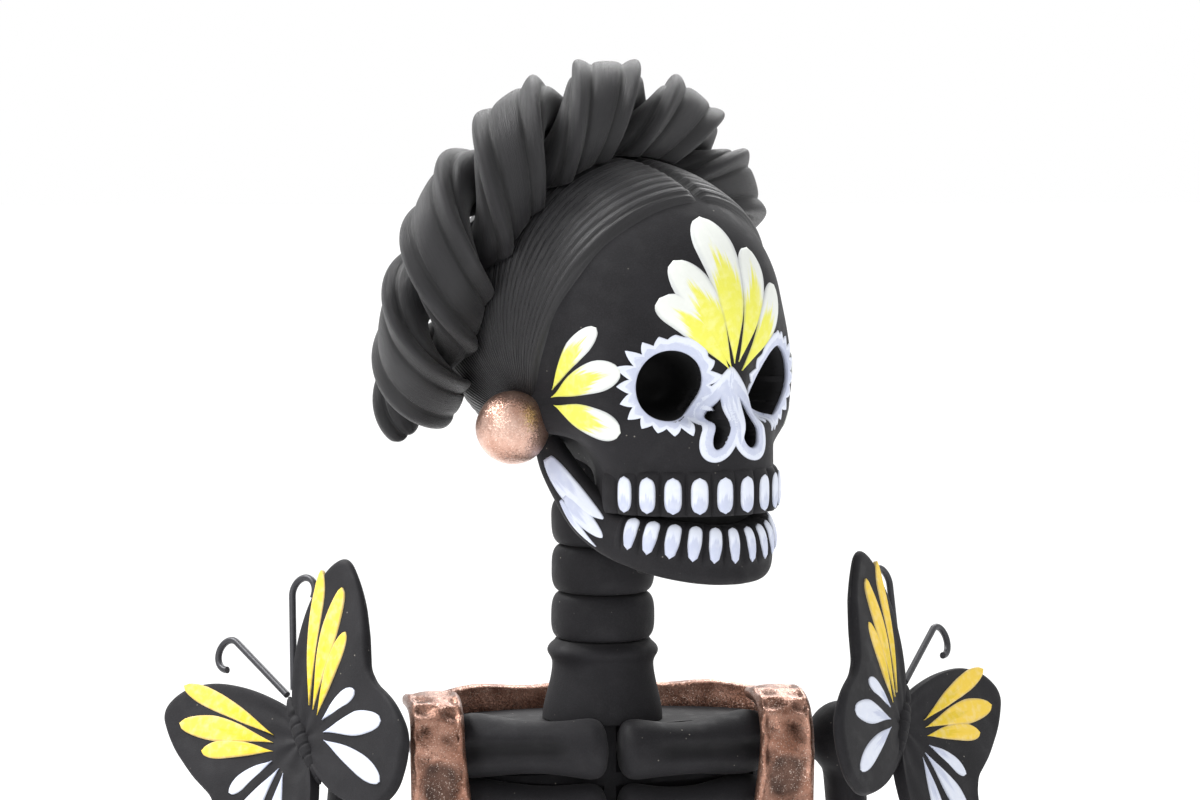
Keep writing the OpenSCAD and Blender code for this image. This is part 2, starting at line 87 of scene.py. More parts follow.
def on_head(points):
    """Head axes to the row frame: turn about z by the head's turn, then lift to the neck's top."""
    c, s = math.cos(head_turn), math.sin(head_turn)
    x, y, z = np.moveaxis(points, -1, 0)
    return xyz(c * x - s * y, s * x + c * y, z + neck_top)


# %% [markdown]
# ## From arrays to meshes
# Every new surface is a table of points: rows run along a piece and columns run across or round
# it. One function joins neighbours into faces, closes the piece round and at its ends, and turns
# the result the right way out by the sign of its volume.

# %% A grid of points becomes a mesh
def net(points, round_rows=False, place=(0.0, 0.0, 0.0)):
    """A grid of points [row, column, xyz]. Columns close round it, and round_rows joins the last row
    to the first. place is a vector for each point, which the materials read."""
    return dict(points=points, rows=round_rows, place=np.broadcast_to(place, points.shape))


def faces_of(grid):
    """Corners of each quad a, b, c, d, and of the fans that close the first and last rows."""
    m, n = grid["points"].shape[:2]
    index = np.arange(m * n).reshape(m, n)
    index = np.hstack([index, index[:, :1]])
    if grid["rows"]:
        index = np.vstack([index, index[:1]])
    quads = np.stack([index[:-1, :-1], index[:-1, 1:], index[1:, 1:], index[1:, :-1]], -1).reshape(-1, 4)
    points, place = grid["points"].reshape(-1, 3), grid["place"].reshape(-1, 3)
    fans = np.zeros((0, 3), int)
    if not grid["rows"]:
        first, last = m * n, m * n + 1
        ends = grid["points"][[0, -1]].mean(1)
        points = np.vstack([points, ends])
        place = np.vstack([place, grid["place"][[0, -1]].mean(1)])
        a, b = index[0], index[-1]
        fans = np.vstack([
            np.stack([a[1:], a[:-1], np.full(len(a) - 1, first)], -1),
            np.stack([b[:-1], b[1:], np.full(len(b) - 1, last)], -1)])
    corners = np.vstack([quads[:, [0, 1, 2]], quads[:, [0, 2, 3]], fans])
    a, b, c = (points[corners[:, k]] - points.mean(0) for k in range(3))
    if np.einsum("ij,ij->i", a, np.cross(b, c)).sum() < 0:
        quads, fans = quads[:, ::-1], fans[:, ::-1]
    return points, place, quads, fans


def piece(name, grids, body, finish, stands_for=()):
    """A mesh of one or more grids, riding on a body of the frame, with its material."""
    grids = [grids] if isinstance(grids, dict) else grids
    points, place, quads, fans, start = [], [], [], [], 0
    for grid in grids:
        p, w, q, f = faces_of(grid)
        points.append(p)
        place.append(w)
        quads.append(q + start)
        fans.append(f + start)
        start += len(p)
    points, place = np.vstack(points), np.vstack(place)
    quads, fans = np.vstack(quads), np.vstack(fans)
    loops = np.concatenate([quads.ravel(), fans.ravel()]).astype(np.int32)
    starts = np.concatenate([np.arange(len(quads)) * 4, len(quads) * 4 + np.arange(len(fans)) * 3])
    mesh = bpy.data.meshes.new(name)
    mesh.vertices.add(len(points))
    mesh.vertices.foreach_set("co", (points / MM).astype(np.float32).ravel())
    mesh.loops.add(len(loops))
    mesh.loops.foreach_set("vertex_index", loops)
    mesh.polygons.add(len(starts))
    mesh.polygons.foreach_set("loop_start", starts.astype(np.int32))
    mesh.update(calc_edges=True)
    mesh.polygons.foreach_set("use_smooth", np.ones(len(starts), bool))
    mesh.attributes.new("place", "FLOAT_VECTOR", "POINT").data.foreach_set(
        "vector", place.astype(np.float32).ravel())
    mesh.validate()
    made = bpy.data.objects.new(name, mesh)
    bpy.context.scene.collection.objects.link(made)
    mesh.materials.append(finish)
    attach(made, body)
    if stands_for:
        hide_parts(*stands_for)
    print(f"{name}: {len(points)} points, {2 * len(quads) + len(fans)} triangles")
    return made


# %% Small tools for curves and bumps
def smooth_step(x, low, high):
    """0 below low, 1 above high, and an S between: t squared times 3 minus 2 t."""
    t = np.clip((x - low) / (high - low), 0, 1)
    return t * t * (3 - 2 * t)


def bell(x, centre, width):
    """A soft bump: e to the minus of the squared distance over the squared width."""
    return np.exp(-((x - centre) / width) ** 2)


def full_turn(count):
    """Even angles once round, from 0 to just short of the first again."""
    return np.linspace(0, 2 * np.pi, count, endpoint=False)


def dome(x, power, least=0.0):
    """The root of 1 minus |x| to a power: a half circle for 2, and squarer for more."""
    return np.sqrt(np.clip(1 - np.abs(x) ** power, least, 1))


def signed_power(x, power):
    """|x| to a power, with the sign of x: below 1 it squares a round section off."""
    return np.sign(x) * np.abs(x) ** power


def hand_worked(points, size, amount):
    """Low swells left by fingers: sines of three slanted mixes of x, y and z, multiplied."""
    x, y, z = np.moveaxis(points / size, -1, 0)
    broad = np.sin(x + 1.7 * np.sin(y)) * np.sin(1.3 * y + 1.1 * np.sin(z)) * np.cos(1.2 * z + x)
    small = np.sin(2.3 * x + z) * np.sin(2.1 * y - 1.4 * z)
    return amount * (broad + 0.5 * small)


def through(knots, count):
    """A smooth path through knots: each stretch is the cubic of its four nearest knots."""
    knots = np.array(knots, float)
    p = np.vstack([2 * knots[0] - knots[1], knots, 2 * knots[-1] - knots[-2]])
    s = np.linspace(0, len(knots) - 1 - 1e-9, count)
    i, t = s.astype(int), (s % 1)[:, None]
    a, b, c, d = p[i], p[i + 1], p[i + 2], p[i + 3]
    bend, change = 2 * a - 5 * b + 4 * c - d, 3 * b - a - 3 * c + d
    return 0.5 * (2 * b + (c - a) * t + bend * t**2 + change * t**3)


def unit(v):
    """A vector divided by its length."""
    return v / np.linalg.norm(v, axis=-1, keepdims=True)


def tube(path, radius, sides=20, side_hint=(0.0, 1.0, 0.0)):
    """A round section carried along a path: the middle, plus r cos b times one normal and r sin b
    times the other."""
    path = np.asarray(path, float)
    ahead = unit(np.gradient(path, axis=0))
    first = unit(np.cross(ahead, np.array(side_hint)))
    second = np.cross(ahead, first)
    b = full_turn(sides)
    r = np.broadcast_to(radius, len(path))[:, None, None]
    ring = first[:, None] * np.cos(b)[:, None] + second[:, None] * np.sin(b)[:, None]
    return path[:, None] + r * ring


def turned(heights, radii, centre, sides=96):
    """A profile turned on the wheel: x = r cos a, y = r sin a, z = height."""
    a = full_turn(sides)
    r, z = np.asarray(radii)[:, None], np.asarray(heights)[:, None]
    return xyz(centre[0] + r * np.cos(a), centre[1] + r * np.sin(a), z)


# %% [markdown]
# ## Shader maths in plain Python
# A material is a graph of nodes, and sums in it get long. One small class wraps a socket, so that
# `1 - mask * 0.5` adds the Math nodes by itself. One method makes any other node.

# %% A socket that can be added and multiplied
class Wire:
    """One output socket of a material's graph, with arithmetic."""

    def __init__(self, bench, socket):
        self.bench, self.socket = bench, socket

    def _sum(self, operation, first, second=None):
        sockets = {0: first} if second is None else {0: first, 1: second}
        return self.bench.node("ShaderNodeMath", sockets, operation=operation)

    def __add__(self, other):
        return self._sum("ADD", self, other)

    def __radd__(self, other):
        return self._sum("ADD", other, self)

    def __sub__(self, other):
        return self._sum("SUBTRACT", self, other)

    def __rsub__(self, other):
        return self._sum("SUBTRACT", other, self)

    def __mul__(self, other):
        return self._sum("MULTIPLY", self, other)

    def __rmul__(self, other):
        return self._sum("MULTIPLY", other, self)

    def __abs__(self):
        return self._sum("ABSOLUTE", self)

    def over(self, low, high):
        """0 below low and 1 above high, with a soft step between."""
        return self.bench.node("ShaderNodeMapRange", {"Value": self, "From Min": low, "From Max": high},
                               interpolation_type="SMOOTHSTEP")


class Bench:
    """One material: its graph, its shader, and the method that adds a node."""

    def __init__(self, name, **constants):
        self.material = bpy.data.materials.new(name)
        self.material.use_nodes = True
        self.tree = self.material.node_tree
        self.shader = self.tree.nodes["Principled BSDF"]
        for socket, value in constants.items():
            self.shader.inputs[socket.replace("_", " ")].default_value = value

    def node(self, kind, sockets=(), out=0, **settings):
        """A node of that type. Its settings come first, then each socket gets a value or a link."""
        made = self.tree.nodes.new(kind)
        for setting, value in settings.items():
            setattr(made, setting, value)
        for socket, value in dict(sockets).items():
            if isinstance(value, Wire):
                self.tree.links.new(value.socket, made.inputs[socket])
            else:
                made.inputs[socket].default_value = value
        return Wire(self, made.outputs[out])

    def feed(self, **wires):
        """Links wires to the shader's own sockets."""
        for socket, wire in wires.items():
            self.tree.links.new(wire.socket, self.shader.inputs[socket.replace("_", " ")])
        return self.material

    def where(self):
        """The piece's own coordinates, in metres."""
        return self.node("ShaderNodeTexCoord", out="Object")

    def stored(self, name, part):
        """One part of a vector stored on the piece's points."""
        vector = self.node("ShaderNodeAttribute", out="Vector", attribute_name=name)
        return self.node("ShaderNodeSeparateXYZ", {0: vector}, out=part)

    def noise(self, scale, detail=2.0, rough=0.5, place=None):
        """Soft random values from 0 to 1 with that many swells to the metre."""
        return self.node("ShaderNodeTexNoise", {"Vector": place or self.where(), "Scale": scale,
                                                "Detail": detail, "Roughness": rough})

    def blend(self, mask, first, second):
        """The first colour where the mask is 0, the second where it is 1."""
        return self.node("ShaderNodeMix", {0: mask, 6: first, 7: second}, out=2, data_type="RGBA")

    def bumps(self, height, strength, distance, under=None):
        """Light bends as if the surface rose by height times distance."""
        sockets = {"Height": height, "Strength": strength, "Distance": distance}
        if under is not None:
            sockets["Normal"] = under
        return self.node("ShaderNodeBump", sockets)


def shade(red, green, blue):
    """A colour given as a painter's swatch, 0 to 255, turned into light."""
    value = np.array([red, green, blue]) / 255
    light = np.where(value < 0.04045, value / 12.92, ((value + 0.055) / 1.055) ** 2.4)
    return (*light, 1.0)


# %% [markdown]
# ## Black clay
# Fired black clay is matt, with a grain as fine as flour, a few light specks of dust, and a soft
# sheen where the tool has pressed it smooth. The colour wanders a little between warm and cool.

# %% The clay
def make_clay():
    bench = Bench("black_clay", Specular_IOR_Level=0.24, Sheen_Weight=0.03, Sheen_Roughness=0.45)
    grain = bench.noise(5200, 3.0, 0.62)
    cloud = bench.noise(120, 3.0)
    rubbed = bench.noise(420, 2.0).over(0.45, 0.72)
    speck = bench.node("ShaderNodeTexVoronoi", {"Vector": bench.where(), "Scale": 900.0}, out="Distance")
    rare = bench.noise(310, 0.0).over(0.60, 0.72)
    speck = (1 - speck.over(0.05, 0.13)) * rare
    # Painted shade: where a piece stores place X, the clay is painted darker, as shade in sockets,
    # grooves, notches and folds.
    deep = bench.stored("place", "X")
    colour = bench.blend(cloud.over(0.3, 0.7), shade(15, 14, 17), shade(24, 23, 26))
    colour = bench.blend(grain.over(0.35, 0.75) * 0.5, colour, shade(37, 36, 40))
    colour = bench.blend(speck * 0.5, colour, shade(176, 170, 160))
    colour = bench.blend(deep, colour, shade(9, 9, 10))
    rough = 0.68 - 0.10 * rubbed + 0.10 * grain
    swell = bench.bumps(cloud, 0.15, 0.0005)
    normal = bench.bumps(grain, 0.34, 0.00010, swell)
    return bench.feed(Base_Color=colour, Roughness=rough, Normal=normal)


clay = make_clay()

# %% [markdown]
# ## Copper paint and glitter
# The dress and the earrings are clay under metallic paint full of fine glitter. Each flake is a cell of a
# Voronoi pattern with its own tilt, and a few cells are painted near white as glints that flash from any
# side. The paint is painted darker in the dents and hollows as shade.

# %% The two metallic paints
def make_glitter(name, dark, body, pale, flakes, flash):
    bench = Bench(name, Specular_IOR_Level=0.5)
    spot = bench.where()
    cell = bench.node("ShaderNodeTexVoronoi", {"Vector": spot, "Scale": flakes}, out="Color")
    chance = bench.node("ShaderNodeSeparateXYZ", {0: cell}, out="X")
    cloud = bench.noise(260, 4.0, 0.6)
    fine = bench.noise(2400, 3.0, 0.6)
    # Painted shade: place Y darkens the paint in dents, hollows, grooves and on backs and insides.
    hollow = bench.stored("place", "Y")
    # Painted glints: a few flake cells are painted near white.
    lit = chance.over(0.90, 0.99) * flash
    colour = bench.blend(cloud.over(0.32, 0.68), body, pale)
    colour = bench.blend(hollow * 0.85, colour, dark)
    colour = bench.blend((1 - chance.over(0.06, 0.18)) * 0.30, colour, dark)
    colour = bench.blend(lit, colour, shade(255, 236, 222))
    tilt = bench.node("ShaderNodeVectorMath", {0: cell, 1: (0.5, 0.5, 0.5)}, operation="SUBTRACT")
    tilt = bench.node("ShaderNodeVectorMath", {0: tilt, "Scale": 0.42}, operation="SCALE")
    ground = bench.bumps(fine, 0.35, 0.00012)
    normal = bench.node("ShaderNodeVectorMath", {0: ground, 1: tilt}, operation="ADD")
    normal = bench.node("ShaderNodeVectorMath", {0: normal}, operation="NORMALIZE")
    rough = 0.27 - 0.10 * lit + 0.12 * fine
    metal = 0.88 - 0.25 * hollow
    return bench.feed(Base_Color=colour, Roughness=rough, Metallic=metal, Normal=normal)


copper = make_glitter("copper_paint", shade(33, 22, 18), shade(126, 88, 72), shade(176, 134, 116),
                      9000.0, 0.35)
rose = make_glitter("rose_paint", shade(120, 84, 71), shade(176, 137, 121), shade(206, 172, 157),
                    9000.0, 0.45)

# %% [markdown]
# ## Brushed paint
# The petals are loaded-brush strokes: the colour is thin at the edge, streaked along the stroke,
# and a lemon flame runs from the root into the white. Each stroke stores how far along and how
# far across it a point is, and the pattern is drawn on those two numbers.

# %% The paints
def make_paint(name, root, tip, reach):
    bench = Bench(name, Specular_IOR_Level=0.35)
    along, across = bench.stored("place", "X"), bench.stored("place", "Y")
    hairs = bench.node("ShaderNodeCombineXYZ", {0: along * 1.6, 1: across * 5.0,
                                                2: bench.stored("place", "Z") * 7.0})
    streak = bench.noise(1.0, 4.0, 0.65, hairs)
    patch = bench.noise(900, 3.0)
    thin = abs(across).over(0.70, 1.05) * 0.42 + streak.over(0.62, 0.85) * 0.12
    flame = (along + abs(across) * 0.30 + (streak - 0.5) * 0.65).over(reach - 0.07, reach + 0.09)
    colour = bench.blend(flame, root, tip)
    colour = bench.blend(thin, colour, shade(118, 122, 138))
    colour = bench.blend(patch.over(0.4, 0.8) * 0.16, colour, shade(244, 244, 240))
    rough = 0.58 + 0.16 * streak
    normal = bench.bumps(streak, 0.35, 0.00012, bench.bumps(patch, 0.2, 0.00008))
    return bench.feed(Base_Color=colour, Roughness=rough, Normal=normal)


petal_paint = make_paint("petal_paint", shade(218, 216, 86), shade(216, 219, 214), 0.78)
white_paint = make_paint("white_paint", shade(182, 188, 208), shade(206, 211, 224), 0.5)
golden_paint = make_paint("golden_paint", shade(212, 182, 40), shade(226, 192, 66), 0.55)


def make_metal(name, colour, metallic, rough):
    bench = Bench(name)
    brushed = bench.noise(1500, 3.0)
    paler = (*(min(1.0, c * 1.5) for c in colour[:3]), 1.0)
    tone = bench.blend(brushed.over(0.3, 0.8) * 0.5, colour, paler)
    return bench.feed(Base_Color=tone, Metallic=bench.noise(200) * 0.05 + metallic,
                      Roughness=rough + 0.2 * brushed, Normal=bench.bumps(brushed, 0.2, 0.00005))


black_wire = make_metal("black_wire", shade(46, 46, 50), 0.30, 0.34)
steel = make_metal("steel", shade(170, 172, 176), 0.95, 0.25)
print(len(bpy.data.materials), "materials")

# %% [markdown]
# ## The skull as a field
# A skull is many round forms melted together. The simplest way to melt them is a field: a number
# for each point of space that is negative inside the form. Two fields join with a soft minimum,
# and the surface is where the sum is zero. Rays from a middle point find that place for a whole
# grid of directions at once, which gives an even, closed surface.

# %% Fields for the forms of the skull
cranium_middle = np.array([0.0, -1.5, 19.2])
cranium_size = np.array([21.0, 28.0, 21.8])
arc_middle_y, arc_reach = -17.6, 12.9
eye_middle = np.array([9.2, -24.6, 10.7])
eye_size, eye_splay, eye_depth = 4.95, math.radians(22), 9.0
neck_room = 8.9
brow_middle, brow_size = np.array([11.0, -17.0, 11.0]), np.array([7.5, 7.0, 11.0])
cheek_front, cheek_back, cheek_r = (14.0, -18.5, 5.5), (18.0, -5.0, 6.0), 2.2
bridge_top, bridge_low, bridge_r = (0, -25.4, 14.5), (0, -27.4, 6.0), 2.4
gum_inset, gum_z, gum_half, gum_round = 1.5, -0.8, 5.2, 1.0


def egg(p, centre, size):
    """Distance to an ellipsoid, nearly: k (k - 1) / g, with k the length of p over the radii."""
    q = (p - centre) / size
    k = np.linalg.norm(q, axis=-1)
    return k * (k - 1) / np.maximum(np.linalg.norm(q / size, axis=-1), 1e-9)


def rod(p, a, b, radius):
    """Distance to the segment from a to b, less a radius."""
    a, b = np.array(a, float), np.array(b, float)
    t = np.clip(((p - a) @ (b - a)) / ((b - a) @ (b - a)), 0, 1)
    return np.linalg.norm(p - a - t[..., None] * (b - a), axis=-1) - radius


def melt(a, b, k):
    """The smaller of two fields, rounded over a width k where they meet."""
    h = np.clip(0.5 + 0.5 * (b - a) / k, 0, 1)
    return b * (1 - h) + a * h - k * h * (1 - h)


def skull_field(p):
    """Cranium, orbits, cheek arches, upper jaw and the bridge of the nose, less the neck's room."""
    q = np.stack([np.abs(p[..., 0]), p[..., 1], p[..., 2]], -1)
    field = egg(p, cranium_middle, cranium_size)
    field = melt(field, egg(q, brow_middle, brow_size), 3.5)
    field = melt(field, rod(q, cheek_front, cheek_back, cheek_r), 3.0)
    around = np.hypot(p[..., 0], p[..., 1] - arc_middle_y) - (arc_reach - gum_inset)
    above = np.abs(p[..., 2] - gum_z) - gum_half
    outside = np.hypot(np.maximum(around, 0), np.maximum(above, 0))
    gum = outside + np.minimum(np.maximum(around, above), 0) - gum_round
    field = melt(field, gum, 4.5)
    field = melt(field, rod(p, bridge_top, bridge_low, bridge_r), 3.0)
    neck = np.maximum(np.hypot(p[..., 0], p[..., 1]) - neck_room, p[..., 2] - 0.1)
    return np.maximum(field, -neck)


def first_meeting(start, way, field, reach, outward, steps=56):
    """How far along a ray the field changes sign first: steps to bracket it, then halving."""
    start, way = np.broadcast_arrays(start, way)
    flat, ways = start.reshape(-1, 3), way.reshape(-1, 3)
    sign = 1.0 if outward else -1.0
    low = np.zeros(len(flat))
    found = np.zeros(len(flat), bool)
    high = np.full(len(flat), float(reach))
    for t in np.linspace(0, reach, steps)[1:]:
        crossed = (sign * field(flat + ways * t) > 0) & ~found
        high = np.where(crossed, t, high)
        found |= crossed
        low = np.where(found, low, t)
    for _ in range(16):
        half = (low + high) / 2
        outside = sign * field(flat + ways * half[:, None]) > 0
        high, low = np.where(outside, half, high), np.where(outside, low, half)
    return ((low + high) / 2).reshape(start.shape[:-1])


def slope_of(field, p, step=0.15):
    """The unit normal of a field: its differences along x, y and z."""
    shifts = np.eye(3) * step
    return unit(np.stack([field(p + s) - field(p - s) for s in shifts], -1))


# %% [markdown]
# ## The skull's surface
# The directions are packed closer in front, where the face is. The eye sockets and the two drops
# of the nose are then pushed in: the points close to a rim slide onto it first, so that the rim is
# a clean line and not a row of steps.

# %% Eye sockets and nose
def eye_axis(side):
    """The way out of a socket: forward, splayed to its side."""
    return np.array([side * math.sin(eye_splay), -math.cos(eye_splay), 0.0])


socket_behind = 7.0  # how far behind the rim's plane the clay still belongs to the socket


def sink_eye(p, side, rim=0.32):
    """Slides points near the rim onto its circle, then sends those inside it down a steep bowl."""
    centre, out = eye_middle * [side, 1, 1], eye_axis(side)
    depth = (p - centre) @ out
    flat = p - centre - depth[..., None] * out
    far = np.linalg.norm(flat, axis=-1)
    near = (np.abs(far - eye_size) < rim) & (depth > -socket_behind)
    inside = (far < eye_size) & (depth > -socket_behind)
    slid = np.where(near, eye_size, far)
    share = np.clip(np.where(near, 0.985, far / eye_size), 0, 1)
    down = np.where(inside, eye_depth * np.sqrt(1 - share**5), 0)
    p = centre + flat * (slid / np.maximum(far, 1e-6))[..., None] + (depth - down)[..., None] * out
    return p, np.where(inside, smooth_step(down, 0.2, 3.0), 0)


# Middle x and z of each drop, half its height, its width, and its lean over a unit of height
nose_depth, nose_front = 4.2, -22
nose_drops = [(-3.35, 5.4, 3.45, 1.15, 0.24), (0.75, 5.4, 3.45, 1.85, -0.28)]


def drop_half_width(z, centre_z, half_height, width):
    """Half the width of a drop at a height: width sin a sin(a/2), where cos a is the height's share."""
    a = np.arccos(np.clip((z - centre_z) / half_height, -1, 1))
    return width * 1.25 * np.sin(a) * np.sin(a / 2) ** 1.3


def sink_nose(p, x0, z0, half, width, lean):
    """Points inside the drop's outline go straight in."""
    reach = drop_half_width(p[..., 2], z0, half, width)
    front = p[..., 1] < nose_front
    middle_x = x0 + lean * (p[..., 2] - z0)
    off = p[..., 0] - middle_x
    near = (np.abs(np.abs(off) - reach) < 0.12) & front & (reach > 0.15)
    inside = (np.abs(off) < reach) & front
    x = np.where(near, middle_x + np.sign(off) * reach, p[..., 0])
    down = np.where(inside, nose_depth * dome(off / np.maximum(reach, 1e-6), 4, 0.05), 0)
    return xyz(x, p[..., 1] + down, p[..., 2]), smooth_step(down, 0.2, 1.6)


# %% Skull mesh
skull_inside, skull_reach = np.array([0.0, -11.0, 8.0]), 46


def skull_grid(rows=262, columns=340):
    """Direction (a, e): a goes round from the back, e climbs. Both crowd together at the face."""
    u = np.linspace(0, 1, columns, endpoint=False)
    v = np.linspace(0.004, 0.996, rows)
    around = 2 * np.pi * u - 0.60 * np.sin(2 * np.pi * u)
    climb = np.pi * (v - 0.5) + 0.34 * np.sin(2 * np.pi * (v - 0.03)) - 0.06
    climb = np.clip(climb, -1.565, 1.565)
    a, e = np.meshgrid(around, climb)
    way = xyz(np.cos(e) * np.sin(a), -np.cos(e) * np.cos(a), np.sin(e))
    far = first_meeting(skull_inside, way, skull_field, skull_reach, True)
    points = skull_inside + way * far[..., None]
    points = points + slope_of(skull_field, points) * hand_worked(points, 5.5, 0.10)[..., None]
    # deep is painted shade: the clay is painted darker down inside the eye sockets and the drops of the
    # nose.
    deep = np.zeros(points.shape[:-1])
    for side in (-1, 1):
        points, hole = sink_eye(points, side)
        deep = np.maximum(deep, hole)
    for drop in nose_drops:
        points, hole = sink_nose(points, *drop)
        deep = np.maximum(deep, hole)
    return net(on_head(points), place=xyz(deep, 0, 0))


piece("skull_face", skull_grid(), "head", clay, ["skull"])

# %% [markdown]
# ## Teeth along an arc
# The teeth are carved in two bands: round bars side by side with a dark groove between, each with
# a white oval on it. A band is a section carried round the dental arc, and a half-circle repeated
# along the arc bulges it into teeth.

# %% Two tooth bands as surfaces of angle and height
upper_pitch, lower_pitch = math.radians(16.0), math.radians(14.4)
upper_top, upper_low = -0.4, -7.1


def tooth_bulge(angle, pitch, shift=0.0):
    """A row of half-circles: the root of 1 minus the squared place within a tooth."""
    place = (angle / pitch + shift) % 1 * 2 - 1
    return dome(place * 0.985, 2)


def upper_band(angle, height):
    """The outer face of the upper teeth: the arc's radius, and a bulge rounded off at both ends."""
    share = (height - upper_low) / (upper_top - upper_low)
    ends = dome(2 * share - 0.86, 3.2)
    r = arc_reach - 0.60 + 1.0 * tooth_bulge(angle, upper_pitch, 0.5) * ends - 0.25 * (1 - ends)
    return xyz(r * np.sin(angle), arc_middle_y - r * np.cos(angle), height)


def upper_teeth_grid():
    """Down the outer face, across the bottom and up inside, for each angle along the arc."""
    angle = np.radians(np.linspace(-100, 100, 420))[:, None]
    height = np.linspace(upper_top, upper_low, 34)[None]
    outer = upper_band(angle, height)
    inner_r = arc_reach - 3.6
    back = np.linspace(upper_low, upper_top, 8)[None]
    inner = xyz(inner_r * np.sin(angle), arc_middle_y - inner_r * np.cos(angle), back)
    return net(on_head(np.concatenate([outer, inner], 1)))


piece("upper_teeth", upper_teeth_grid(), "head", clay)

# %% [markdown]
# ## The lower jaw
# The jaw is one bow: a tall rounded section that follows the dental arc at the chin, then turns
# back and climbs to the ear on each side. Its section changes along the way, so the path, the
# height and the thickness are all curves through a few knots.

# %% Jaw as a surface of two numbers
jaw_knots = {
    # x, y, middle height, half the height, half the thickness: from the chin back to the ear
    "x": [0.0, 2.6, 5.1, 7.3, 8.9, 9.9, 10.4, 11.0, 11.9, 12.8, 13.5, 13.9],
    "y": [-27.3, -26.9, -25.8, -24.1, -21.9, -19.3, -16.6, -13.9, -11.1, -8.4, -6.0, -4.4],
    "z": [-12.8, -12.7, -12.4, -12.0, -11.5, -11.0, -10.6, -9.6, -7.4, -4.2, -0.8, 2.2],
    "tall": [4.1, 4.1, 4.1, 4.0, 3.9, 3.7, 3.4, 3.3, 3.4, 3.0, 2.6, 2.0],
    "thick": [2.6, 2.6, 2.6, 2.6, 2.6, 2.5, 2.4, 2.1, 1.9, 1.7, 1.5, 1.3],
}
jaw_path = {k: through(np.array(v)[:, None], 260)[:, 0] for k, v in jaw_knots.items()}


def jaw_at(name, s):
    """One of the jaw's curves at s, where 0 is the chin and 1 an ear. The two sides mirror."""
    return np.interp(np.abs(s), np.linspace(0, 1, len(jaw_path[name])), jaw_path[name])


jaw_turn = np.arctan2(jaw_path["x"], -(jaw_path["y"] - arc_middle_y))


def jaw_surface(s, b):
    """Point at s along the bow and angle b round its section: a squared oval, with teeth on top."""
    side, step = np.sign(s + 1e-9), 0.01
    middle = xyz(jaw_at("x", s) * side, jaw_at("y", s), jaw_at("z", s))
    dx, dy, dz = (jaw_at(k, np.abs(s) + step) - jaw_at(k, np.abs(s) - step) for k in "xyz")
    level = np.hypot(dx, dy) + 1e-9
    out = xyz(dy / level * side, -dx / level, 0)
    lean = np.arctan2(dz, level)
    climb = xyz(-np.sin(lean) * dx / level * side, -np.sin(lean) * dy / level, np.cos(lean))
    c = np.cos(b)
    wide = jaw_at("thick", s) * signed_power(c, 0.72)
    tall = jaw_at("tall", s) * signed_power(np.sin(b), 0.72)
    angle = np.interp(np.abs(s), np.linspace(0, 1, len(jaw_turn)), jaw_turn) * side
    share = np.clip(tall / jaw_at("tall", s), -1, 1)
    upper = smooth_step(share, -0.35, -0.02) * smooth_step(c, 0.0, 0.4)
    row = upper * (1 - smooth_step(np.abs(angle), math.radians(86), math.radians(93)))
    bulge = (tooth_bulge(angle, lower_pitch, 0.0) - 0.62) * 1.05 * row
    chin = 0.9 * bell(s, 0, 0.22) * smooth_step(-share, 0.3, 0.9) * smooth_step(c, 0, 0.5)
    return middle + out * (wide + bulge + chin)[..., None] + climb * tall[..., None]


def jaw_grid():
    """The whole bow from one ear round the chin to the other."""
    s = np.linspace(-1, 1, 560)[:, None]
    b = full_turn(72)[None]
    return net(on_head(jaw_surface(s, b)))


piece("jaw_bow", jaw_grid(), "head", clay, ["lower_jaw"])

# %% [markdown]
# ## Behind the teeth
# Between the two rows of teeth one would look right through the head. A column of clay fills the mouth,
# painted dark as the shade inside it. It needs no detail, because only a sliver of it is seen.

# %% Closed mouth
def mouth_grid():
    """A squared oval column: x = 8.7 cos a and y = 8 sin a, with both waves to the power 0.8."""
    a = full_turn(96)[None]
    z = np.linspace(-16.0, -3.0, 20)[:, None]
    shrink = 1 - 0.25 * smooth_step(-z, 12.5, 16.0)
    x = 8.7 * shrink * signed_power(np.cos(a), 0.8)
    y = -17.9 + 8.0 * shrink * signed_power(np.sin(a), 0.8)
    # Place X of 0.85 paints the column dark, as the shade inside the mouth.
    return net(on_head(xyz(x, y, z)), place=(0.85, 0, 0))


piece("mouth_inside", mouth_grid(), "head", clay)

# %% [markdown]
# ## Paint laid on clay
# A brush stroke has next to no thickness, but it has an edge and follows the form. Each stroke is
# drawn flat, as a leaf with a width for each place along it, and then pressed on: rays from the
# flat drawing find the clay, and the stroke rises a hair above it and ends a little below it.

# %% Leaves, bands and how they are pressed on
paint_rise, paint_sink = 0.13, 0.45


def leaf(root, tip, width, bow=0.0, rows=34, columns=13, fat=0.70, seed=0.0):
    """Flat points of a stroke: middle line bowed by a half sine, half-width a sine up to its
    fattest place and a quarter circle after it."""
    root, tip = np.array(root, float), np.array(tip, float)
    s = np.linspace(0.0, 1.0, rows)[:, None]
    t = np.linspace(-1, 1, columns)[None]
    ahead = tip - root
    side = np.array([-ahead[1], ahead[0]]) / np.linalg.norm(ahead)
    half = width / 2 * np.where(s < fat, np.sin(np.pi / 2 * np.clip(s / fat, 0, 1) ** 1.15),
                                np.sqrt(np.clip(1 - ((s - fat) / (1 - fat)) ** 2, 0, 1)))
    half = np.maximum(half, 0.03) * (1 + 0.05 * np.sin(9 * s + 5 * seed))
    middle = root + s[..., None] * ahead + (bow * np.sin(np.pi * s))[..., None] * side
    points = middle + (t * half)[..., None] * side
    return points, xyz(s, t, seed)


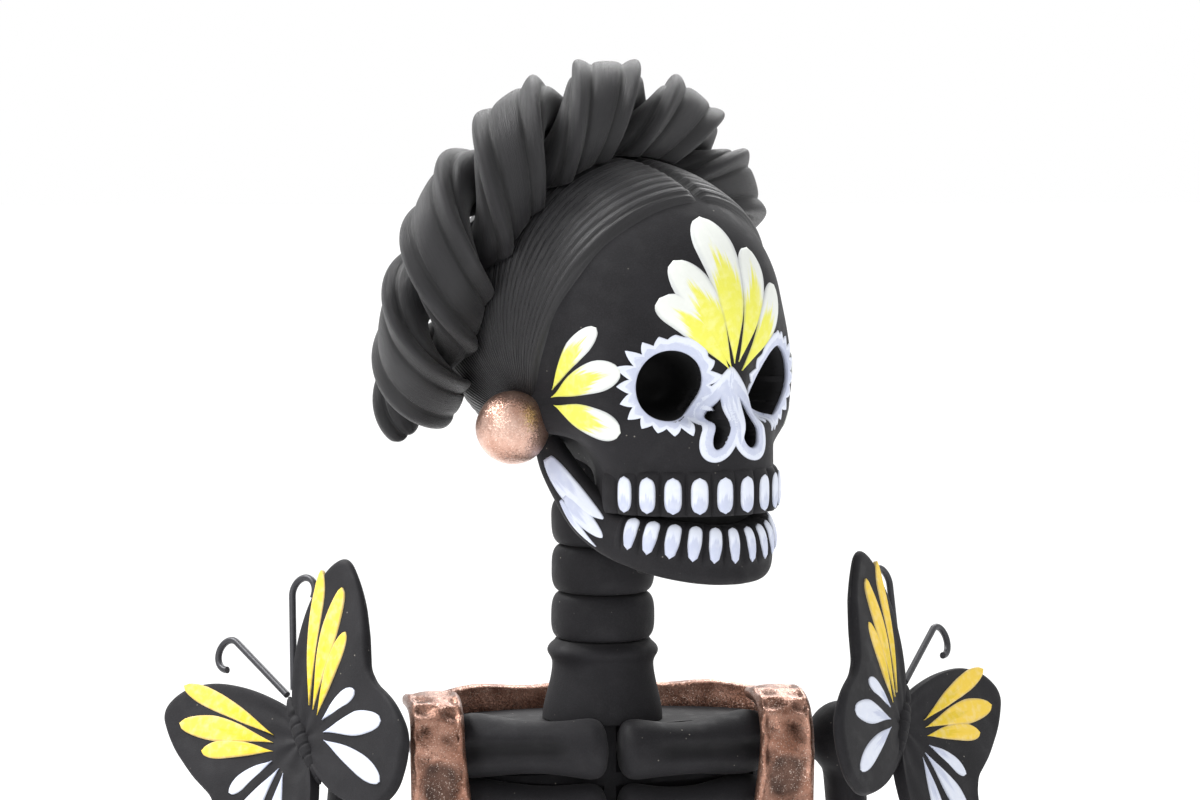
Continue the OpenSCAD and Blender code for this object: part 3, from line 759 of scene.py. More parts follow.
def laid_stroke(top, out, place, round_rows=False):
    """A closed stroke: its top face raised along `out`, thinner to the edge, and its sunk back."""
    edge = dome(place[..., 1:2], 3)
    upper = top + out * (0.03 + paint_rise * edge)
    lower = (top - out * paint_sink)[:, ::-1]
    return net(np.concatenate([upper, lower], 1), round_rows,
               np.concatenate([place, place[:, ::-1]], 1))


def pressed(start, way, place, reach=26.0, steps=70, round_rows=False):
    """Points held before the skull are sent along `way` to it, and made into a stroke there."""
    way = np.array(way, float)
    far = first_meeting(start, way, skull_field, reach, False, steps)
    top = start + way * far[..., None]
    return laid_stroke(top, slope_of(skull_field, top), place, round_rows)


drawing_y, backward = -42.0, (0, 1, 0)


def front_view(flat):
    """A drawing seen from the front: its x and z, well before the face."""
    return xyz(flat[..., 0], drawing_y, flat[..., 1])


# %% [markdown]
# ## The five petals and the temple sprays
# Five petals fan from the bridge of the nose over the brow, and three more spring from each ear
# along the temple. They are white with a lemon flame.

# %% Brow petals
brow_petals = [
    # root x, z; tip x, z; width; bow
    (-1.00, 13.6, -1.8, 33.4, 6.2, 0.3),
    (-1.40, 13.0, -8.4, 27.6, 5.0, 0.1),
    (-1.70, 12.8, -11.0, 22.6, 4.7, -0.5),
    (-0.30, 13.8, 4.0, 29.2, 4.9, -0.5),
    (0.40, 12.6, 8.7, 24.0, 5.2, -0.6),
]


def brow_grids():
    grids = []
    for k, (x0, z0, x1, z1, width, bow) in enumerate(brow_petals):
        flat, place = leaf((x0, z0), (x1, z1), width, bow, 44, 17, 0.78, k * 1.7)
        grids.append(pressed(front_view(flat), backward, place))
    return grids


def in_row_frame(grids):
    """Moves finished grids from the head's axes to the row frame."""
    for grid in grids:
        grid["points"] = on_head(grid["points"])
    return grids


piece("brow_petals", in_row_frame(brow_grids()), "head", petal_paint)

# %% Temple sprays
temple_petals = [
    # along the temple from the ear, and up: root, tip, width, bow
    ((-2.3, 1.6), (5.4, 10.4), 3.3, 0.4),
    ((-2.5, 0.5), (9.0, 4.7), 4.3, 0.4),
    ((-1.9, -0.5), (8.7, -3.8), 4.3, 0.2),
]
temple_root, temple_gap = np.array([15.5, -11.9, 8.2]), 14


def temple_grids(side):
    """Drawn on an upright plane beside the head, turned to face the temple."""
    turn = math.radians(30)
    ahead = np.array([-side * math.sin(turn), -math.cos(turn), 0])
    inward = np.array([-side * math.cos(turn), math.sin(turn), 0])
    root = temple_root * [side, 1, 1] - inward * temple_gap

    def beside(flat):
        return root + flat[..., :1] * ahead + flat[..., 1:] * np.array([0, 0, 1.0])

    grids = []
    for k, (start, tip, width, bow) in enumerate(temple_petals):
        flat, place = leaf(start, tip, width, bow, 34, 15, 0.68, k * 2.3 + side)
        grids.append(pressed(beside(flat), inward, place))
    return grids


for side, name in both_sides:
    piece(f"temple_petals_{name}", in_row_frame(temple_grids(side)), "head", petal_paint)

# %% [markdown]
# ## Lace round the eyes
# Each socket has a white ring whose outer edge breaks into small pointed scallops. The ring is a
# grid of angle and distance: its inner edge is the rim, and its outer edge a row of peaks.

# %% Eye lace
lace_points = 19


def lace_width(angle):
    """How far the ring reaches past the rim: peaks all round, and a plain broad brow inside above."""
    place = (angle * lace_points / (2 * np.pi)) % 1
    peak = (1 - np.abs(2 * place - 1)) ** 0.85 * (0.85 + 0.15 * np.sin(5 * angle + 1.0))
    from_brow = angle - math.radians(62)
    brow = bell(np.arctan2(np.sin(from_brow), np.cos(from_brow)), 0, 0.62)
    long = 1 + 0.35 * np.cos(2 * angle + 0.6)
    return (0.95 + 1.75 * peak * long) * (1 - brow) + 2.2 * brow


def lace_grid(side):
    """Angle 0 points to the nose and a quarter turn up. The ring is sent straight back to the clay."""
    angle = full_turn(420)[:, None]
    share = np.linspace(0, 1, 9)[None]
    reach = eye_size - 0.10 + share * lace_width(angle)
    centre, out = eye_middle * [side, 1, 1], eye_axis(side)
    inward = np.array([-side * math.cos(eye_splay), -math.sin(eye_splay), 0])
    start = (centre + out * 12 + (reach * np.cos(angle))[..., None] * inward
             + (reach * np.sin(angle))[..., None] * np.array([0, 0, 1.0]))
    place = xyz(share * 0.9, (2 * share - 1) * 0.9, angle)
    return pressed(start, -out, place, 22, 60, True)


for side, name in both_sides:
    piece(f"eye_lace_{name}", in_row_frame([lace_grid(side)]), "head", white_paint)

# %% [markdown]
# ## The outline of the nose
# The nose is a heart upside down: a thick white line round each drop, meeting in a point between
# the brows.

# %% Nose lines
def nose_ring(x0, z0, half, width, lean, thick):
    """A closed band round a drop: inner edge the drop, outer edge the drop grown by the thickness."""
    a = full_turn(120)[:, None]
    share = np.linspace(0, 1, 7)[None]
    drop = width * 1.25 * np.sin(a) * np.abs(np.sin(a / 2)) ** 1.3
    wide = drop + share * thick * np.sin(a) * (0.55 + 0.45 * np.abs(np.sin(a / 2)))
    high = (half + share * thick * np.where(np.cos(a) > 0, 2.3, 0.9)) * np.cos(a)
    flat = np.stack([x0 + wide + lean * high, z0 + high], -1)
    place = xyz(share * 0.8, (2 * share - 1) * 0.9, a)
    return pressed(front_view(flat), backward, place, round_rows=True)


def nose_grids():
    grids = [nose_ring(*drop, 1.9) for drop in nose_drops]
    for x in (-0.5, 0.6):
        flat, place = leaf((-1.3 + x * 0.2, 12.7), (-1.3 + x, 2.4), 1.5, 0.0, 30, 9, 0.35, x)
        grids.append(pressed(front_view(flat), backward, place))
    return grids


piece("nose_lines", in_row_frame(nose_grids()), "head", white_paint)

# %% [markdown]
# ## White ovals on the teeth
# The two tooth bands are surfaces of two numbers, so an oval needs no rays: it is a small patch
# of the same surface, lifted off it by a hair.

# %% Tooth ovals
def oval_patch(surface, centre_u, centre_v, half_u, half_v, seed):
    """Patch rows run down the tooth, and each row is as wide as the oval is there."""
    s = np.linspace(-1, 1, 16)[:, None]
    t = np.linspace(-1, 1, 9)[None]
    u = centre_u + half_u * t * dome(s, 3.6, 0.002)
    v = centre_v + half_v * s
    top = surface(u, v)
    du = surface(u + 0.004, v) - surface(u - 0.004, v)
    dv = surface(u, v + 0.01) - surface(u, v - 0.01)
    out = unit(np.cross(du, dv))
    middle = np.array([0, arc_middle_y + 3, -6.0])
    out = out * np.sign(np.sum(out * (top - middle), -1).mean())
    return laid_stroke(top, out, xyz((s + 1) / 2, t, seed))


oval_share = 0.33  # half an oval's width over the pitch of the teeth


def upper_oval_grids():
    """Eleven ovals from side to side, each at the middle of a tooth."""
    return [oval_patch(upper_band, k * upper_pitch, -4.25, oval_share * upper_pitch, 2.45, k * 1.3)
            for k in range(-5, 6)]


def jaw_s_of(angle):
    """Where along the jaw an angle of the dental arc lies."""
    return np.interp(np.abs(angle), jaw_turn, np.linspace(0, 1, len(jaw_turn))) * np.sign(angle)


def lower_oval_grids():
    """The lower ovals sit on the upper half of the bow's outer face."""
    grids = []
    for k in range(-6, 6):
        angle = (k + 0.5) * lower_pitch
        first, last = (jaw_s_of(abs(angle) + way * oval_share * lower_pitch) for way in (-1, 1))
        half_s, seed = abs(last - first) / 2, k * 0.9 + 3
        grids.append(oval_patch(jaw_surface, jaw_s_of(angle), 0.50, half_s, 0.62, seed))
    return grids


piece("upper_tooth_ovals", in_row_frame(upper_oval_grids()), "head", white_paint)
piece("lower_tooth_ovals", in_row_frame(lower_oval_grids()), "head", white_paint)

# %% [markdown]
# ## Strokes on the branch of the jaw
# Three white strokes run forward from each ear. They are drawn in the jaw's own two numbers, how
# far along the bow and how far round its section, so they need no rays either.

# %% Strokes along the branch of the jaw
def jaw_stroke(s0, b0, s1, b1, width_b, seed):
    """A leaf drawn in the jaw's own two numbers: from (s0, b0) to (s1, b1), fat where it starts."""
    s = np.linspace(0, 1, 30)[:, None]
    t = np.linspace(-1, 1, 9)[None]
    half = width_b * np.sin(np.pi * np.clip(s * 0.93 + 0.05, 0, 1)) ** 0.6 * (1 - 0.55 * s)
    u, v = s0 + (s1 - s0) * s + 0 * t, b0 + (b1 - b0) * s + half * t
    top = jaw_surface(u, v)
    out = unit(np.cross(jaw_surface(u + 0.004, v) - jaw_surface(u - 0.004, v),
                        jaw_surface(u, v + 0.02) - jaw_surface(u, v - 0.02)))
    out = out * np.sign((out[..., 0] * s0).mean())
    return laid_stroke(top, out, xyz(s, t, seed))


def branch_grids(side):
    return [jaw_stroke(side * 0.93, 0.0, side * 0.64, 0.45, 0.62, 1.0),
            jaw_stroke(side * 0.80, -0.1, side * 0.60, -0.05, 0.34, 2.0),
            jaw_stroke(side * 0.80, -0.4, side * 0.62, -0.62, 0.30, 3.0)]


for side, name in both_sides:
    piece(f"jaw_strokes_{name}", in_row_frame(branch_grids(side)), "head", white_paint)

# %% [markdown]
# ## Hair
# The hair is a thin cap of clay, parted in the middle and combed from the parting down to the
# ears. Lines through both ears make a fan of half-circles over the head, and a groove along each
# of them gives combed hair. The cap is closed by a coarse inner side a little under the scalp.

# %% Combed clay
def make_combed_clay():
    bench = Bench("combed_clay", Specular_IOR_Level=0.42, Sheen_Weight=0.12, Sheen_Roughness=0.35)
    along, across = bench.stored("place", "X"), bench.stored("place", "Y")
    lines = bench.node("ShaderNodeCombineXYZ", {0: along * 2.0, 1: across * 60.0})
    hairs = bench.noise(1.0, 3.0, 0.6, lines)
    grain = bench.noise(5200, 3.0, 0.62)
    # Paler patches of colour where the combed strands rise.
    strand_paling = bench.noise(260, 3.0).over(0.55, 0.80) * hairs.over(0.5, 0.8)
    # Painted shade: place Z darkens the clay in the comb grooves, the parting and the braid's valleys.
    low = bench.stored("place", "Z")
    colour = bench.blend(hairs.over(0.3, 0.75), shade(13, 12, 15), shade(25, 24, 27))
    colour = bench.blend(grain.over(0.35, 0.75) * 0.4, colour, shade(37, 36, 40))
    colour = bench.blend(strand_paling * 0.35, colour, shade(110, 106, 102))
    colour = bench.blend(low, colour, shade(8, 8, 9))
    rough = 0.52 - 0.14 * hairs + 0.08 * grain
    combed = bench.bumps(hairs, 0.5, 0.00030)
    return bench.feed(Base_Color=colour, Roughness=rough, Normal=bench.bumps(grain, 0.3, 0.00010, combed))


combed_clay = make_combed_clay()


# %% Hair cap
hair_t = 0.9
ear_axis = np.array([0.0, -5.0, 4.4])


def onto_cranium(way, grow):
    """Where a ray from the ear axis leaves the cranium grown by `grow`: the larger root of a
    quadratic."""
    size = cranium_size + grow
    start, ahead = (ear_axis - cranium_middle) / size, way / size
    a, b, c = np.sum(ahead**2, -1), np.sum(ahead * start, -1), np.sum(start**2) - 1
    return ear_axis + way * ((-b + np.sqrt(b * b - a * c)) / a)[..., None]


hairline, nape, comb_pitch = 62.5, 200, 2.6  # in degrees round the line through both ears


def hair_grid():
    """Rows go from ear to ear, columns from the hairline over the top to the nape and back inside."""
    beside = np.radians(np.linspace(-87, 87, 150))[:, None]
    over = np.radians(np.linspace(hairline, nape, 470))[None]
    way = xyz(np.sin(beside), -np.cos(beside) * np.cos(over), np.cos(beside) * np.sin(over))
    rise = smooth_step(np.degrees(over), hairline, hairline + 4)
    rise = rise * smooth_step(nape - np.degrees(over), 0, 4)
    comb = np.abs(np.sin(np.degrees(over) * np.pi / comb_pitch + 2.2 * np.cos(3 * beside))) ** 0.8
    centre = np.sin(beside) * 26
    part = bell(centre, 0.6 * np.sin(over * 2), 0.65) * (1 - smooth_step(np.degrees(over), 150, 175))
    height = -0.25 + rise * (hair_t + 0.30 - 0.30 * (1 - comb) * (1 - part) - 1.15 * part)
    outer = onto_cranium(way, 0.0) + way * height[..., None]
    inner = onto_cranium(way[:, ::16], -0.6)[:, ::-1]
    # Place Z is painted shade: darker in the comb grooves and along the parting.
    place = xyz(beside, over * 2, 0.60 * (1 - comb) * rise + part)
    place = np.concatenate([place, np.zeros_like(inner)], 1)
    return net(on_head(np.concatenate([outer, inner], 1)), place=place)


piece("combed_hair", hair_grid(), "head", combed_clay, ["hair_cap"])

# %% [markdown]
# ## The braid
# Two flat strands of combed clay are twisted together and laid over the head as an arch, from
# behind one ear to behind the other. A strand is a ridged oval section that turns about the
# arch's middle line, and where it would sink into the scalp it is pressed flat on it.

# %% Strands of the braid
braid_turns, strand_offset, strand_t, strand_w = 3.9, 4.05, 4.0, 7.2
braid_half_w, braid_rise, braid_sweep, braid_lean = 25.5, 28.5, 250.0, math.radians(13)
braid_y, braid_z = 5, 19.4


def strand_grid(phase, rings=400, sides=84):
    """Point = middle + taper ((offset + t cos b) e1 + w sin b e2); e1 and e2 turn about the arch."""
    s = np.linspace(0.0, 1, rings)[:, None]
    b = full_turn(sides)[None]
    a = np.radians(90 + braid_sweep * (s - 0.5))
    middle_line = xyz(braid_half_w * np.cos(a), 7 * np.abs(2 * s - 1) ** 5, braid_rise * np.sin(a))
    turn = np.radians(phase - 360 * braid_turns * s)
    outward = xyz(np.cos(a), 0, np.sin(a))
    across = np.array([0.0, 1.0, 0.0])
    e1 = np.cos(turn)[..., None] * outward + np.sin(turn)[..., None] * across
    e2 = -np.sin(turn)[..., None] * outward + np.cos(turn)[..., None] * across
    ridge = np.abs(np.cos(2.5 * b)) ** 0.62
    round_in = 1 - 0.20 * (1 - ridge)
    taper = 0.7 + 0.3 * np.abs(np.sin(np.pi * s)) ** 0.4
    thick = (strand_offset + strand_t * round_in * np.cos(b)) * taper
    wide = strand_w * round_in * np.sin(b) * taper
    p = middle_line + thick[..., None] * e1 + wide[..., None] * e2
    c, v = math.cos(braid_lean), math.sin(braid_lean)
    x, y, z = np.moveaxis(p, -1, 0)
    p = xyz(x, braid_y + y * c - z * v, braid_z + y * v + z * c)
    from_middle = p - cranium_middle
    depth = np.linalg.norm(from_middle / (cranium_size + hair_t + 0.3), axis=-1)[..., None]
    p = np.where(depth < 1, cranium_middle + from_middle / np.maximum(depth, 1e-6), p)
    # Place Z is painted shade: darker in the valleys between the strand's ridges.
    return net(on_head(p), place=xyz(s * 9, np.abs(b - np.pi) * 1.2, 0.85 * (1 - ridge)))


piece("braid_right_over", strand_grid(0.0), "head", combed_clay, ["braid_strand_a"])
piece("braid_left_over", strand_grid(180.0), "head", combed_clay, ["braid_strand_b"])

# %% [markdown]
# ## Earrings
# Each earring is a ball of clay rolled by hand and dipped in rose glitter, so it is not quite
# round. It is turned as a profile, and low swells are added to it.

# %% Earring balls
def ball_grid(centre, radius, worked=0.02, rows=72, sides=120):
    """A ball: r sin e out and r cos e up, with swells worth a share of the radius."""
    e = np.linspace(0.02, np.pi - 0.02, rows)
    points = turned(-np.cos(e) * radius, np.sin(e) * radius, (0.0, 0.0), sides)
    points = points * (1 - worked + hand_worked(points, radius * 0.45, worked * 0.6)[..., None])
    return net(points + centre)


for side in ("right", "left"):
    low, high = box(f"earring_{side}")
    piece(f"glitter_ball_{side}", ball_grid((low + high) / 2, (high - low)[2] / 2), "head", rose,
          [f"earring_{side}"])

# %% [markdown]
# ## The neck
# The neck is a stack of round vertebrae. Each is a turned profile with a full, soft edge and a
# deep notch between it and the next, worked over lightly so that no two are quite the same.

# %% Vertebrae and the neck's root
vertebra_names = sorted(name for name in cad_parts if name.startswith("vertebra_"))


def vertebra_grid(low, high, radius, notch):
    """Radius = notch + (full - notch) times the root of 1 minus the cube of the height's share."""
    t = np.linspace(-1, 1, 40)
    r = notch + (radius - notch) * dome(t, 3)
    points = turned(low + (high - low) * (t + 1) / 2, r, (0.0, 0.0), 140)
    worn = 1 - 0.012 + hand_worked(points + [0, 0, low], 4.2, 0.010)
    # Painted shade: darker in the notch between one vertebra and the next.
    deep = (1 - smooth_step(r, notch + 0.1, notch + 0.9))[:, None] * np.ones(140) * 0.55
    points[..., :2] *= worn[..., None]
    return net(points, place=xyz(deep, 0, 0))


for name in vertebra_names:
    low, high = box(name)
    piece(f"round_{name}", vertebra_grid(low[2] + 0.02, high[2] - 0.02, high[0], high[0] - 1.5), "figure",
          clay, [name])


def neck_root_grid():
    """A flared foot with a rolled collar at its top."""
    low, high = box("neck_root")
    t = np.linspace(0, 1, 60)
    foot, top = high[0] - 0.4, high[0] - 1.75
    r = foot + (top - foot) * smooth_step(t, 0.0, 0.75)
    r = r + 0.7 * bell(t, 0.86, 0.09) - 0.5 * bell(t, 1.0, 0.05)
    points = turned(low[2] + (high[2] - low[2]) * t, r, (0.0, 0.0), 140)
    points[..., :2] *= 1 + hand_worked(points, 4.0, 0.010)[..., None]
    # Painted shade: darker at the groove under the collar and at the foot, where the neck meets the parts
    # next to it.
    deep = (0.5 * bell(t, 1.0, 0.05) + 0.3 * bell(t, 0.0, 0.06))[:, None] * np.ones(140)
    return net(points, place=xyz(deep, 0, 0))


piece("neck_foot", neck_root_grid(), "figure", clay, ["neck_root"])

# %% [markdown]
# ## Ribs and collarbones
# The chest is a ladder of clay bars. Each starts at the breastbone with a raised lip, bends back
# round the chest, and has a groove pressed along its front with a modelling tool.

# %% Chest bars
bar_bend, bar_front, bar_depth = 40.0, 10.0, 4.2
bar_start, bar_long = 0.9, 21.5
first_bar, bar_pitch = 6, 9


def bar_grid(side, drop, tall):
    """A section carried round an arc: depth 4.2 cos b, height h(s) sin b, less a groove."""
    s = np.linspace(0, 1, 110)[:, None]
    b = full_turn(72)[None]
    a = np.arcsin((bar_start + bar_long * s) / bar_bend)
    ends = dome(2 * s - 1, 11)
    waist = 1.06 - 0.22 * np.sin(np.pi * np.clip(s * 1.15, 0, 1)) ** 1.5
    height = tall * waist * (0.30 + 0.70 * ends)
    depth = bar_depth * (0.55 + 0.45 * ends)
    lens = smooth_step(s, 0.16, 0.34) * (1 - smooth_step(s, 0.80, 0.97))
    front = smooth_step(np.cos(b), 0.1, 0.7)
    up = height * signed_power(np.sin(b), 0.9)
    groove = lens * front * bell(up, 0.15 + 0.25 * np.sin(5 * s), 1.15)
    lip = 0.45 * bell(s, 0.07, 0.07) * front
    out = depth * np.cos(b) + lip - 1.15 * groove
    r = bar_bend + out
    z = shoulder_z - drop + up - 0.3 * side * np.sin(3 * s)
    points = xyz(side * r * np.sin(a), bar_bend - bar_front - r * np.cos(a), z)
    points = points + hand_worked(points + drop * 3.1, 3.4, 0.10)[..., None] * [0.3, 1.0, 0.5]
    # Painted shade: darker in the groove and towards both ends of the bar.
    deep = 0.55 * groove + 0.35 * (1 - ends) + 0 * b
    return net(points, place=xyz(deep, 0, 0))


for side, name in both_sides:
    piece(f"collarbone_bar_{name}", bar_grid(side, first_bar, 4.35), "figure", clay,
          [f"collarbone_{name}"])
    for k in range(1, 4):
        piece(f"rib_bar_{k}_{name}", bar_grid(side, first_bar + bar_pitch * k, 4.15), "figure", clay,
              [f"rib_{k}_{name}"])

# %% [markdown]
# ## The copper dress
# The dress was pressed on as a sheet of clay, hammered with a round tool, and painted copper. The
# hammering is a row of shallow dents in the surface itself, and each dent is painted darker as shade.

# %% Hammered relief
def dents(u, v, size):
    """A quilt of round dents: the product of two squared sines, warped so that the rows wander."""
    u, v = u / size + 0.35 * np.sin(v / size * 0.7), v / size + 0.35 * np.sin(u / size * 0.9)
    return (np.sin(u) * np.sin(v)) ** 2


# %% Shoulder straps
strap_x, strap_skin = 24.8, 1.1
strap_knots = [
    # in from strap_x, y, height over the shoulder line, half-width
    (2.2, -11.4, -37.8, 5.25), (1.6, -11.5, -30.0, 5.2), (1.1, -11.4, -22.5, 4.9),
    (0.5, -11.3, -14.0, 4.3), (0.0, -11.2, -6.2, 3.9), (0.0, -9.6, -1.7, 3.8),
    (0.0, -5.4, 0.05, 3.9), (0.0, 3.2, 0.0, 4.3),
]


def strap_grid(side):
    """A flat oval section along the knots: half-width w(s) sideways, half-thickness 1.1 across."""
    run = through(strap_knots, 260)
    path = xyz(side * (strap_x - run[:, 0]), run[:, 1], run[:, 2] + shoulder_z)
    ahead = unit(np.gradient(path, axis=0))
    sideways = np.array([1.0, 0.0, 0.0])
    out = unit(np.cross(ahead, sideways))
    s = np.linspace(0, 1, len(path))[:, None]
    b = full_turn(96)[None]
    c, v = np.cos(b), np.sin(b)
    ends = dome(2 * s - 1, 30, 0.02)
    wide = run[:, 3][:, None] * ends * signed_power(c, 0.75)
    skin = strap_skin * signed_power(v, 0.6) * (0.35 + 0.65 * ends)
    front = smooth_step(v, 0.2, 0.8)
    share = np.abs(wide) / run[:, 3][:, None]
    rim = 0.40 * bell(share, 0.86, 0.13)
    hollow = smooth_step(1.25 - np.hypot((s - 0.50) / 0.055, share / 0.62), 0, 0.5)
    boss = smooth_step(1.2 - np.hypot((s - 0.385) / 0.05, share / 0.75), 0, 0.6)
    relief = dents(wide * 1.3, s * 60, 1.9)
    skin = skin + front * (rim - 0.75 * hollow + 0.55 * boss - 0.60 * relief * (1 - hollow))
    flip = 1.0 if np.dot(out[0], [0, -1, 0]) > 0 else -1.0
    points = path[:, None] + wide[..., None] * sideways + (flip * skin)[..., None] * out[:, None]
    # Painted shade: darker in the dents, in the large hollow and on the back of the strap; the rolled rim
    # and the boss get none.
    dark = np.clip(0.85 * hollow + 0.45 * relief * (1 - boss) - 0.3 * rim, 0, 1)
    dark = front * dark + 0.3 * (1 - front)
    return net(points, place=xyz(0, dark, 0))


for side, name in both_sides:
    piece(f"hammered_strap_{name}", strap_grid(side), "figure", copper, [f"strap_{name}"])

# %% Back of the dress
back_outer, back_inner = (28.0, 13.2), (25.9, 11.1)  # half-widths and half-depths
back_front_y = 4.4


def dress_back_grid():
    """Rows go round the back from side to side, columns up outside and down inside."""
    low, high = box("dress_back")
    start = math.asin(back_front_y / back_outer[1])
    a = np.linspace(start, math.pi - start, 240)[:, None]
    t = np.linspace(0, 1, 90)[None]
    top = high[2] - 0.35 + 0.3 * np.sin(9 * a)
    z = low[2] + (top - low[2]) * t
    roll = 0.5 * bell(t, 0.955, 0.04) - 0.9 * smooth_step(t, 0.97, 1.0)
    relief = dents(a * 26, z, 2.4)
    grow = roll - 0.30 * relief * (1 - smooth_step(t, 0.9, 0.95)) - 0.1
    outer = xyz((back_outer[0] + grow) * np.cos(a), (back_outer[1] + grow) * np.sin(a), z)
    inner_t = np.linspace(1, 0, 14)[None]
    inner_z = low[2] + (top - 0.5 - low[2]) * inner_t
    inner = xyz(back_inner[0] * np.cos(a), back_inner[1] * np.sin(a), inner_z)
    # Painted shade: darker in the dents and on the inside; the rolled rim gets none.
    dark = np.concatenate([0.5 * relief - 0.3 * bell(t, 0.955, 0.04), 0.2 + 0 * inner_z], 1)
    dark = np.clip(dark, 0, 1)
    return net(np.concatenate([outer, inner], 1), place=xyz(0, dark, 0))


piece("hammered_back", dress_back_grid(), "figure", copper, ["dress_back"])


# %% Bodice
def bodice_grid():
    """An oval section whose two half-widths follow three heights, closed at its top and bottom."""
    z = np.linspace(waist_z + 0.1, shoulder_z - 39.7, 170)
    knots = [waist_z, waist_z + 10, shoulder_z - 53, shoulder_z - 39.5]
    wide = np.interp(z, knots, [15.2, 18.0, 26.8, 25.8])
    deep = np.interp(z, knots, [15.2, 14.7, 14.1, 13.5])
    soft = np.ones(13) / 13
    wide[8:-8] = np.convolve(np.pad(wide, 6, "edge"), soft, "valid")[8:-8]
    a = full_turn(300)[None]
    z, wide, deep = z[:, None], wide[:, None], deep[:, None]
    share = (z - z[0]) / (z[-1] - z[0])
    relief = dents(a * 22, z, 2.3)
    roll = 0.35 * bell(share, 0.965, 0.02) - 1.0 * smooth_step(share, 0.985, 1.0)
    grow = roll - 0.34 * relief * (1 - smooth_step(share, 0.93, 0.96)) - 0.1
    points = xyz((wide + grow) * np.cos(a), (deep + grow) * np.sin(a), z)
    # Painted shade: darker in the dents; the rolled rim gets none.
    dark = np.clip(0.5 * relief - 0.4 * bell(share, 0.965, 0.02), 0, 1)
    return net(points, place=xyz(0, dark, 0))


piece("hammered_bodice", bodice_grid(), "figure", copper, ["bodice"])

# %% [markdown]
# ## Sash and hem
# Both are ropes of clay laid round the skirt and pressed together, painted copper like the bodice.
# One function makes them: a section of a few rolls outside and a plain inside, turned right round.

# %% Sash and hem band
def band_grid(outer, inner, low, high, rolls, twist=0.0):
    """A band round the skirt: its outside is a few rolls, its inside plain. The section is a loop."""
    t = np.linspace(0, 1, 64)[:, None]
    a = full_turn(360)[None]
    lean = twist * np.sin(12 * a)
    roll = np.abs(np.sin(np.pi * (rolls * t + lean * np.sin(np.pi * t)))) ** 0.6
    edge = 1 - np.sin(np.pi * np.clip(t, 0.02, 0.98)) ** 0.25
    radius = outer(low + (high - low) * t) - 0.9 * (1 - roll) - 1.2 * edge
    outside = xyz(radius * np.cos(a), radius * np.sin(a), low + (high - low) * t)
    back_z = low + (high - low) * np.linspace(1, 0, 8)[:, None]
    inside = xyz(inner(back_z) * np.cos(a), inner(back_z) * np.sin(a), back_z)
    # Painted shade: darker between the rolls and on the inside.
    dark = np.concatenate([0.8 * (1 - roll), np.full((8, 360), 0.3)])
    return net(np.concatenate([outside, inside]), round_rows=True,
               place=xyz(0, dark, 0))


skirt_height, waist_r, hip_swell, skirt_wall = waist_z, 13.0, 9.0, 3.5
hem_r = box("skirt")[1][0]


def skirt_radius(z):
    """A flare to the power 1.6 towards the hem, and a bell-shaped swell at the hips."""
    share = np.asarray(z) / skirt_height
    flare = (hem_r - waist_r) * np.clip(1 - share, 0, 1) ** 1.6
    return waist_r + flare + hip_swell * bell(share, 0.82, 0.153)


sash_r = box("waist_sash")[1][0]
for name, node, outer, twist in (("rolled_sash", "waist_sash", lambda z: sash_r, 0.25),
                                 ("beaded_hem", "hem_band", lambda z: skirt_radius(z) + 2.6, 0.15)):
    low, high = box(node)
    band = band_grid(outer, lambda z: skirt_radius(z) - 0.3, low[2], high[2], 3, twist)
    piece(name, band, "figure", copper, [node])

# %% [markdown]
# ## The skirt
# The skirt is a hollow bell of clay. Shallow folds start below the hips and deepen to the hem. It
# is one loop of a profile, up the outside and down the inside, turned right round.

# %% Skirt
fold_count, rod_room = 11, 1.6


def skirt_surface(a, z):
    """The bell's radius less the folds: a raised cosine round the skirt, growing towards the hem."""
    grow = smooth_step(1 - z / skirt_height, 0.18, 1.0)
    fold = 0.5 - 0.5 * np.cos(fold_count * a + 0.8 * np.sin(2 * a))
    r = skirt_radius(z) - (2.0 * grow * fold)
    points = xyz(r * np.cos(a), r * np.sin(a), z)
    worked = hand_worked(points, 9.0, 0.16)[..., None] * unit(points * [1, 1, 0])
    return points + worked, fold * grow


def skirt_grid():
    """Outside up, over the top to the rod, and down the inside."""
    a = full_turn(300)[None]
    outer, fold = skirt_surface(a, np.linspace(0, skirt_height, 170)[:, None])
    over = turned([skirt_height, skirt_height - skirt_wall], [rod_room, rod_room], (0.0, 0.0), 300)
    z = np.linspace(skirt_height - skirt_wall, 0, 60)
    inner = turned(z, np.maximum(skirt_radius(z) - skirt_wall - 1.0, 2.0), (0.0, 0.0), 300)
    # Painted shade: darker in the fold valleys and on the inside.
    deep = np.concatenate([0.30 * fold, np.zeros((2, 300)), np.full((60, 300), 0.3)])
    return net(np.concatenate([outer, over, inner]), round_rows=True,
               place=xyz(deep, 0, 0))


piece("folded_skirt", skirt_grid(), "figure", clay, ["skirt"])

# %% [markdown]
# ## Fans round the hem
# The skirt carries the petals of the brow once more: eight fans of five above the hem, with small
# white drops under them, a row of drops along the hem and one at the knees.

# %% Painted fans round the skirt
def on_skirt(flat, turn):
    """Flat (round, up) points laid on the skirt: the angle is the way round over the radius there."""
    z = flat[..., 1]
    return skirt_surface(turn + flat[..., 0] / skirt_radius(z), z)[0]


def skirt_stroke(root, tip, width, bow, turn, seed, fat=0.76, rows=32, columns=11):
    """A leaf laid on the skirt, with its rise along the skirt's own normal."""
    flat, place = leaf(root, tip, width, bow, rows, columns, fat, seed)
    top = on_skirt(flat, turn)
    step = 0.2
    around = on_skirt(flat + [step, 0], turn) - on_skirt(flat - [step, 0], turn)
    upward = on_skirt(flat + [0, step], turn) - on_skirt(flat - [0, step], turn)
    return laid_stroke(top, unit(np.cross(around, upward)), place)


